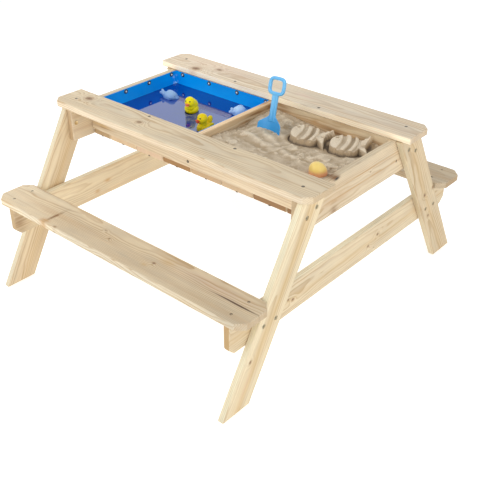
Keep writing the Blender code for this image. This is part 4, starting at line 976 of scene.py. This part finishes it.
def toy_matrix(place, degrees, level):
    """Frame of a toy at a place, with its heading"""
    heading = Matrix.Rotation(radians(degrees), 4, "Z")
    return Matrix.Translation((place[0], place[1], level)) @ heading


def about(axis, degrees):
    """Quaternion of a turn about an axis"""
    return Matrix.Rotation(radians(degrees), 3, axis).to_quaternion()


def duck_body(number, neck):
    """Mesh of a duck's body, tail, head and throat, and wings for the second"""
    if number == 1:
        forms = [((21.5, 20.8, 16), (-7.5, 0, 1)),
                 ((27.5, 19, 16), (-8, 0, 15), about("Y", -36)),
                 ((9, 8, 6), (-26.5, 0, 6), about("Y", 20))]
    else:
        forms = [((26.2, 19, 15), (0, 0, -1)),
                 ((8, 9.5, 7.5), (19, 0.0, 4.5)),
                 ((13.5, 7.5, 9.5), (-21.5, 0, 13.5), about("Y", 58))]
        for side in SIDES:
            forms.append(((14.8, 4.6, 8), (-5, side * 17.4, 5.2), about("Y", 14)))
    forms.append(((15.8, 14.8, 15), neck))
    forms.append(((10.5, 12.5, 12), neck - Vector((1.5, 0, 14))))
    return rounded(forms)


def ducks():
    """Two vinyl ducks with beaks and eyes"""
    black = plain("duck_eye_black", rgb(0.06, 0.05, 0.01), 0.3)
    bill = (((7.8, 7.2, 2.4), (16, 0, -1.5), about("Y", -14)),
            ((6.6, 6, 2.2), (15, 0, -5), about("Y", 16)))
    sight = [((1.2, 2.1, 2.4), (12.8, side * 6.8, 5.8), about("Z", side * 32)) for side in SIDES]
    for number, (place, heading, look, neck, low, high, red) in enumerate(DUCKS, start=1):
        # Painted shade: the yellow darker towards the bottom
        yellow = graded(f"duck_yellow_{number}", low, high, 0.426, 0.452, 0.3, shine=0.22)
        orange = plain(f"duck_beak_orange_{number}", red, 0.35)
        body = soften(new_object(f"duck_body_{number}", duck_body(number, neck), yellow), 0.0008, 5)
        beak = new_object(f"duck_beak_{number}", rounded(bill, 12), orange)
        eyes = new_object(f"duck_eyes_{number}", rounded(sight, 10), black)
        turn = Matrix.Translation(metres(neck)) @ Matrix.Rotation(radians(look), 4, "Z")
        for piece in (beak, eyes):
            piece.data.transform(turn)
        matrix = toy_matrix(place, heading, WATER_LEVEL + 0.006)
        for piece in (body, beak, eyes):
            piece.data.transform(matrix)
            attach(piece, f"duck_{number}_loose")
        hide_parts(f"duck_{number}")


def fish_body():
    """Mesh of a toy fish with an upright forked tail and fins"""
    forms = [((23, 18.8, 17.8), (-1.5, 0, -1)),
             ((12, 8.5, 7.5), (15.5, 0, -2.5)),
             ((11, 7.5, 8), (-19.5, 0, 4), about("Y", 20))]
    for rise in (62, 12):
        lobe = Matrix.Rotation(radians(rise), 3, "Y")
        place = Vector((-22.5, 0.0, 5)) - lobe @ Vector((6.8, 0, 0))
        forms.append(((9.5, 3.2, 5), place, lobe.to_quaternion()))
    forms.append(((12.5, 3.4, 6), (1, 0, 14.2), about("Y", 8)))
    for side in SIDES:
        forms.append(((6.5, 4.5, 2.2), (6, side * 16, 1), about("X", side * 25)))
    return rounded(forms)


def toy_fish():
    """Two pale blue vinyl fish with eyes"""
    dark = plain("fish_eye_dark", rgb(0.1, 0.19, 0.4), 0.3)
    sight = [((1.4, 1, 1.4), (16, side * 9.8, 4.8)) for side in SIDES]
    for number, (place, heading, low, high) in enumerate(TOY_FISH, start=1):
        # Painted shade: the blue darker towards the bottom
        blue = graded(f"fish_blue_{number}", low, high, 0.428, 0.45, 0.34, shine=0.35)
        body = soften(new_object(f"fish_body_{number}", fish_body(), blue), 0.0008, 4)
        eyes = new_object(f"fish_eyes_{number}", rounded(sight, 10), dark)
        matrix = toy_matrix(place, heading, WATER_LEVEL + 0.003)
        for piece in (body, eyes):
            piece.data.transform(matrix)
            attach(piece, f"fish_{number}_loose")
        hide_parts(f"fish_{number}")


# Spade: blade, shaft with its half widths and height over its start, and loop
BLADE_WIDTH, BLADE_LENGTH, BLADE_TIP, BLADE_BOW = 0.077, 0.068, -0.026, 0.011
BLADE_CELLS = 44
SHAFT_SECTIONS = ((0.0102, 0.0044, -0.003), (0.0098, 0.0045, 0.01), (0.0094, 0.0045, 0.038),
                  (0.0097, 0.0045, 0.064), (0.0102, 0.0045, 0.0762))
LOOP_HALF_WIDTH, LOOP_HALF_HEIGHT, LOOP_MIDDLE = 0.0232, 0.0202, 0.1176
LOOP_STEPS = 72


def signed_power(value, power):
    """Power of a value that keeps its sign"""
    return copysign(abs(value) ** power, value)


def squared_oval(turn, half_x, half_y, power=0.5):
    """Point at an angle of an oval, which a low power makes squarer"""
    return signed_power(cos(turn), power) * half_x, signed_power(sin(turn), power) * half_y


def blade_half_width(along):
    """Half width of the blade at a share of its length, from tip to shoulders"""
    half = BLADE_WIDTH / 2
    if along < 0.3:
        share = 1 - along / 0.3
        return half * (1 - share ** 2 * 0.3)
    if along > 0.55:
        share = (along - 0.55) / 0.45
        return half + (0.02 - BLADE_WIDTH) / 2 * (1 - cos(pi * share)) / 2
    return half


def blade_solid(made):
    """Bowed sheet of the spade's blade, as a bmesh"""
    bm = bmesh.new()
    grid = {}
    for row in range(BLADE_CELLS + 1):
        half = blade_half_width(row / BLADE_CELLS)
        for column in range(BLADE_CELLS + 1):
            x = (2 * column / BLADE_CELLS - 1) * half
            bow = -BLADE_BOW * (2 * x / BLADE_WIDTH) ** 2
            grid[row, column] = bm.verts.new((x, bow, BLADE_TIP + row / BLADE_CELLS * BLADE_LENGTH))
    for row in range(BLADE_CELLS):
        for column in range(BLADE_CELLS):
            corners = ((row, column), (row, column + 1), (row + 1, column + 1), (row + 1, column))
            bm.faces.new([grid[corner] for corner in corners])
    sheet = new_object("spade_blade_sheet", bm, made)
    shell = sheet.modifiers.new("sheet", "SOLIDIFY")
    shell.thickness = 0.0024
    shell.offset = 0
    graph = bpy.context.evaluated_depsgraph_get()
    solid = bpy.data.meshes.new_from_object(sheet.evaluated_get(graph))
    bpy.data.objects.remove(sheet, do_unlink=True)
    bm = bmesh.new()
    bm.from_mesh(solid)
    return bm


def add_shaft(bm):
    """Squarish shaft with a groove on both of its broad faces"""
    rings = []
    for half_x, half_y, rise in SHAFT_SECTIONS:
        ring = []
        for turn in turns(36):
            x, y = squared_oval(turn, half_x, half_y)
            groove = 0.0018 * max(0.0, 1 - (x / 0.006) ** 2)
            if abs(y) > 0.002:
                y -= copysign(groove, y)
            ring.append(bm.verts.new((x, y, 0.026 + rise)))
        rings.append(ring)
    skin_rings(bm, rings)


def add_loop(bm):
    """Closed loop of the handle"""
    loop = []
    for turn in turns(LOOP_STEPS):
        x, z = squared_oval(turn, LOOP_HALF_WIDTH, LOOP_HALF_HEIGHT)
        loop.append(Vector((x, 0, LOOP_MIDDLE + z)))
    rings = []
    for step, middle in enumerate(loop):
        ahead = loop[(step + 1) % LOOP_STEPS] - loop[step - 1]
        out = Vector((ahead.z, 0, -ahead.x)).normalized()
        ring = []
        for turn in turns(14):
            away, across = squared_oval(turn, 0.0048, 0.0046, 0.75)
            ring.append(bm.verts.new(middle + out * away + Vector((0, across, 0))))
        rings.append(ring)
    skin_rings(bm, rings, True)


def spade():
    """Sky blue toy spade: bowed blade, grooved shaft and loop handle"""
    # Painted shade: the blue darker towards the foot of the blade
    blue = graded("spade_blue", rgb(0.022, 0.3, 0.7), rgb(0.15, 0.52, 0.9), 0.455, 0.53, 0.3, soft=0.05)
    bm = blade_solid(blue)
    add_shaft(bm)
    add_loop(bm)
    for vert in bm.verts:
        vert.co.x += 0.003 * min(1.0, max(0.0, (0.075 - vert.co.z) / 0.08))
    piece = soften(new_object("spade_moulding", bm, blue), 0.0007, 4)
    lean = Matrix.Rotation(-radians(2.8), 4, "Y") @ Matrix.Rotation(-radians(17), 4, "X")
    piece.data.transform(Matrix.Translation((0.0922077, 0.0373062, 0.4525425)) @ lean)
    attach(piece, "spade_loose")
    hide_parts("spade")


def mould():
    """Domed mould, yellow above and orange below, with a painted pale highlight along its outline"""
    look = graded(
        "mould_orange", rgb(0.95, 0.44, 0.22), rgb(0.97, 0.68, 0.19), 0.452, 0.464, 0.36, 0.6, soft=0.15)
    low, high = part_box("orange_mould")
    bm = bmesh.new()
    width, tall, tip, steps = 0.0234, 0.03, 0.0002, 24
    outer = []
    for step in range(steps + 1):
        angle = step / steps * pi / 2
        radius = max(width * cos(angle) ** 0.9, tip)
        outer.append((radius, tall * sin(angle) ** 0.78))
    inner = [(max(radius * 0.93, tip), height * 0.947) for radius, height in reversed(outer)]
    rings = []
    for radius, height in outer + inner:
        share = height / tall
        slip = -0.0042 * share ** 1.4
        ring = []
        for turn in turns(48):
            away = cos(turn - radians(41))
            reach = radius * (1 - 0.1 * max(0.0, away) * share ** 2)
            x, y = reach * cos(turn) + slip * 0.753, reach * sin(turn) + slip * 0.658
            ring.append(bm.verts.new((x, y, height)))
        rings.append(ring)
    skin_rings(bm, rings, True)
    piece = new_object("mould_cup", bm, look)
    piece.data.transform(Matrix.Translation(((low[0] + high[0]) / 2, (low[1] + high[1]) / 2, low[2])))
    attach(piece, "orange_mould_loose")
    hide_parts("orange_mould")


# Stage, light and camera

def stage():
    """White floor that glows a little, so that shadows on it stay faint"""
    bm = bmesh.new()
    bmesh.ops.create_grid(bm, x_segments=1, y_segments=1, size=14)
    made, tree = new_tree("studio_floor")
    matte = result(tree, "BsdfDiffuse", {"Color": rgb(0.8, 0.8, 0.8)})
    light = result(tree, "Emission", {"Color": rgb(1, 1, 1), "Strength": 0.52})
    finish_tree(tree, result(tree, "AddShader", {0: matte, 1: light}))
    floor = new_object("studio_floor", bm, made, False)
    floor.location.z = -0.0008


def world():
    """White backdrop for the camera, soft cool light from above for the rest"""
    made = bpy.data.worlds.new("studio")
    bpy.context.scene.world = made
    made.use_nodes = True
    tree = made.node_tree
    tree.nodes.clear()
    direction = add(tree, "TexCoord").outputs["Generated"]
    height = add(tree, "SeparateXYZ", {0: direction}).outputs[2]
    colour = blend(span(height, -0.2, 0.9), rgb(0.95, 0.96, 1.0), rgb(0.88, 0.93, 1.0))
    around = result(tree, "Background", {"Color": colour, "Strength": 0.64})
    white = result(tree, "Background", {"Color": rgb(1, 1, 1), "Strength": 1.0})
    paths = add(tree, "LightPath")
    seen = calc("MAXIMUM", paths.outputs["Is Camera Ray"], paths.outputs["Is Glossy Ray"])
    mixed = result(tree, "MixShader", {0: seen, 1: around, 2: white})
    add(tree, "OutputWorld", {"Surface": mixed})


def area_light(name, place, target, size, power, colour, mirrored=True):
    """Soft box aimed at a point"""
    data = bpy.data.lights.new(name, "AREA")
    data.shape = "SQUARE"
    data.size = size
    data.energy = power
    data.color = colour
    lamp = bpy.data.objects.new(name, data)
    bpy.context.scene.collection.objects.link(lamp)
    lamp.location = place
    lamp.rotation_euler = (Vector(target) - Vector(place)).to_track_quat("-Z", "Y").to_euler()
    lamp.visible_glossy = mirrored


def camera():
    """Camera at the photo's place"""
    data = bpy.data.cameras.new("camera")
    data.lens = 60.43
    data.sensor_width = 36
    data.clip_end = 60
    eye = bpy.data.objects.new("camera", data)
    bpy.context.scene.collection.objects.link(eye)
    eye.location = (1.34837, -1.52327, 1.34083)
    eye.rotation_euler = (radians(58.29), 0, radians(41.17))
    bpy.context.scene.camera = eye


def main():
    """Build the whole picture"""
    bpy.context.scene.view_settings.view_transform = "Standard"
    world()
    stage()
    area_light("key", (-0.6, -3.2, 2.3), (0, -0.1, 0.3), 2.4, 54, (1.0, 0.975, 0.93))
    area_light("side", (3.1, -0.6, 1.7), (0, 0, 0.3), 2.0, 28, (1.0, 0.96, 0.9))
    area_light("back", (-1.6, 1.3, 1.5), (-0.2, 0.1, 0.45), 1.0, 14, (0.97, 0.98, 1.0), False)
    camera()
    paint_tops()
    paint_seats()
    paint_tray()
    paint_legs()
    steel = plain("frame_steel", rgb(0.3, 0.26, 0.2), 0.4, 0.9)
    for node in NODES:
        if "screw" in node or "bolt" in node:
            paint(node, steel)
    paint("water_liner", liner_look())
    paint("water_fill", water_look())
    paint("sand_fill", plain("sand_plain", rgb(0.7, 0.58, 0.44), 0.95))
    paint("spade", plain("spade_plain", rgb(0.08, 0.42, 0.83), 0.35))
    paint("orange_mould", plain("mould_plain", rgb(0.95, 0.55, 0.2), 0.35))
    for number in (1, 2):
        paint(f"duck_{number}", plain(f"duck_plain_{number}", rgb(0.8, 0.58, 0.005), 0.35))
        paint(f"fish_{number}", plain(f"fish_plain_{number}", rgb(0.45, 0.6, 0.85), 0.35))
    screw_heads()
    leg_bolts()
    cup_washers()
    sand_piece()
    ducks()
    toy_fish()
    spade()
    mould()


main()
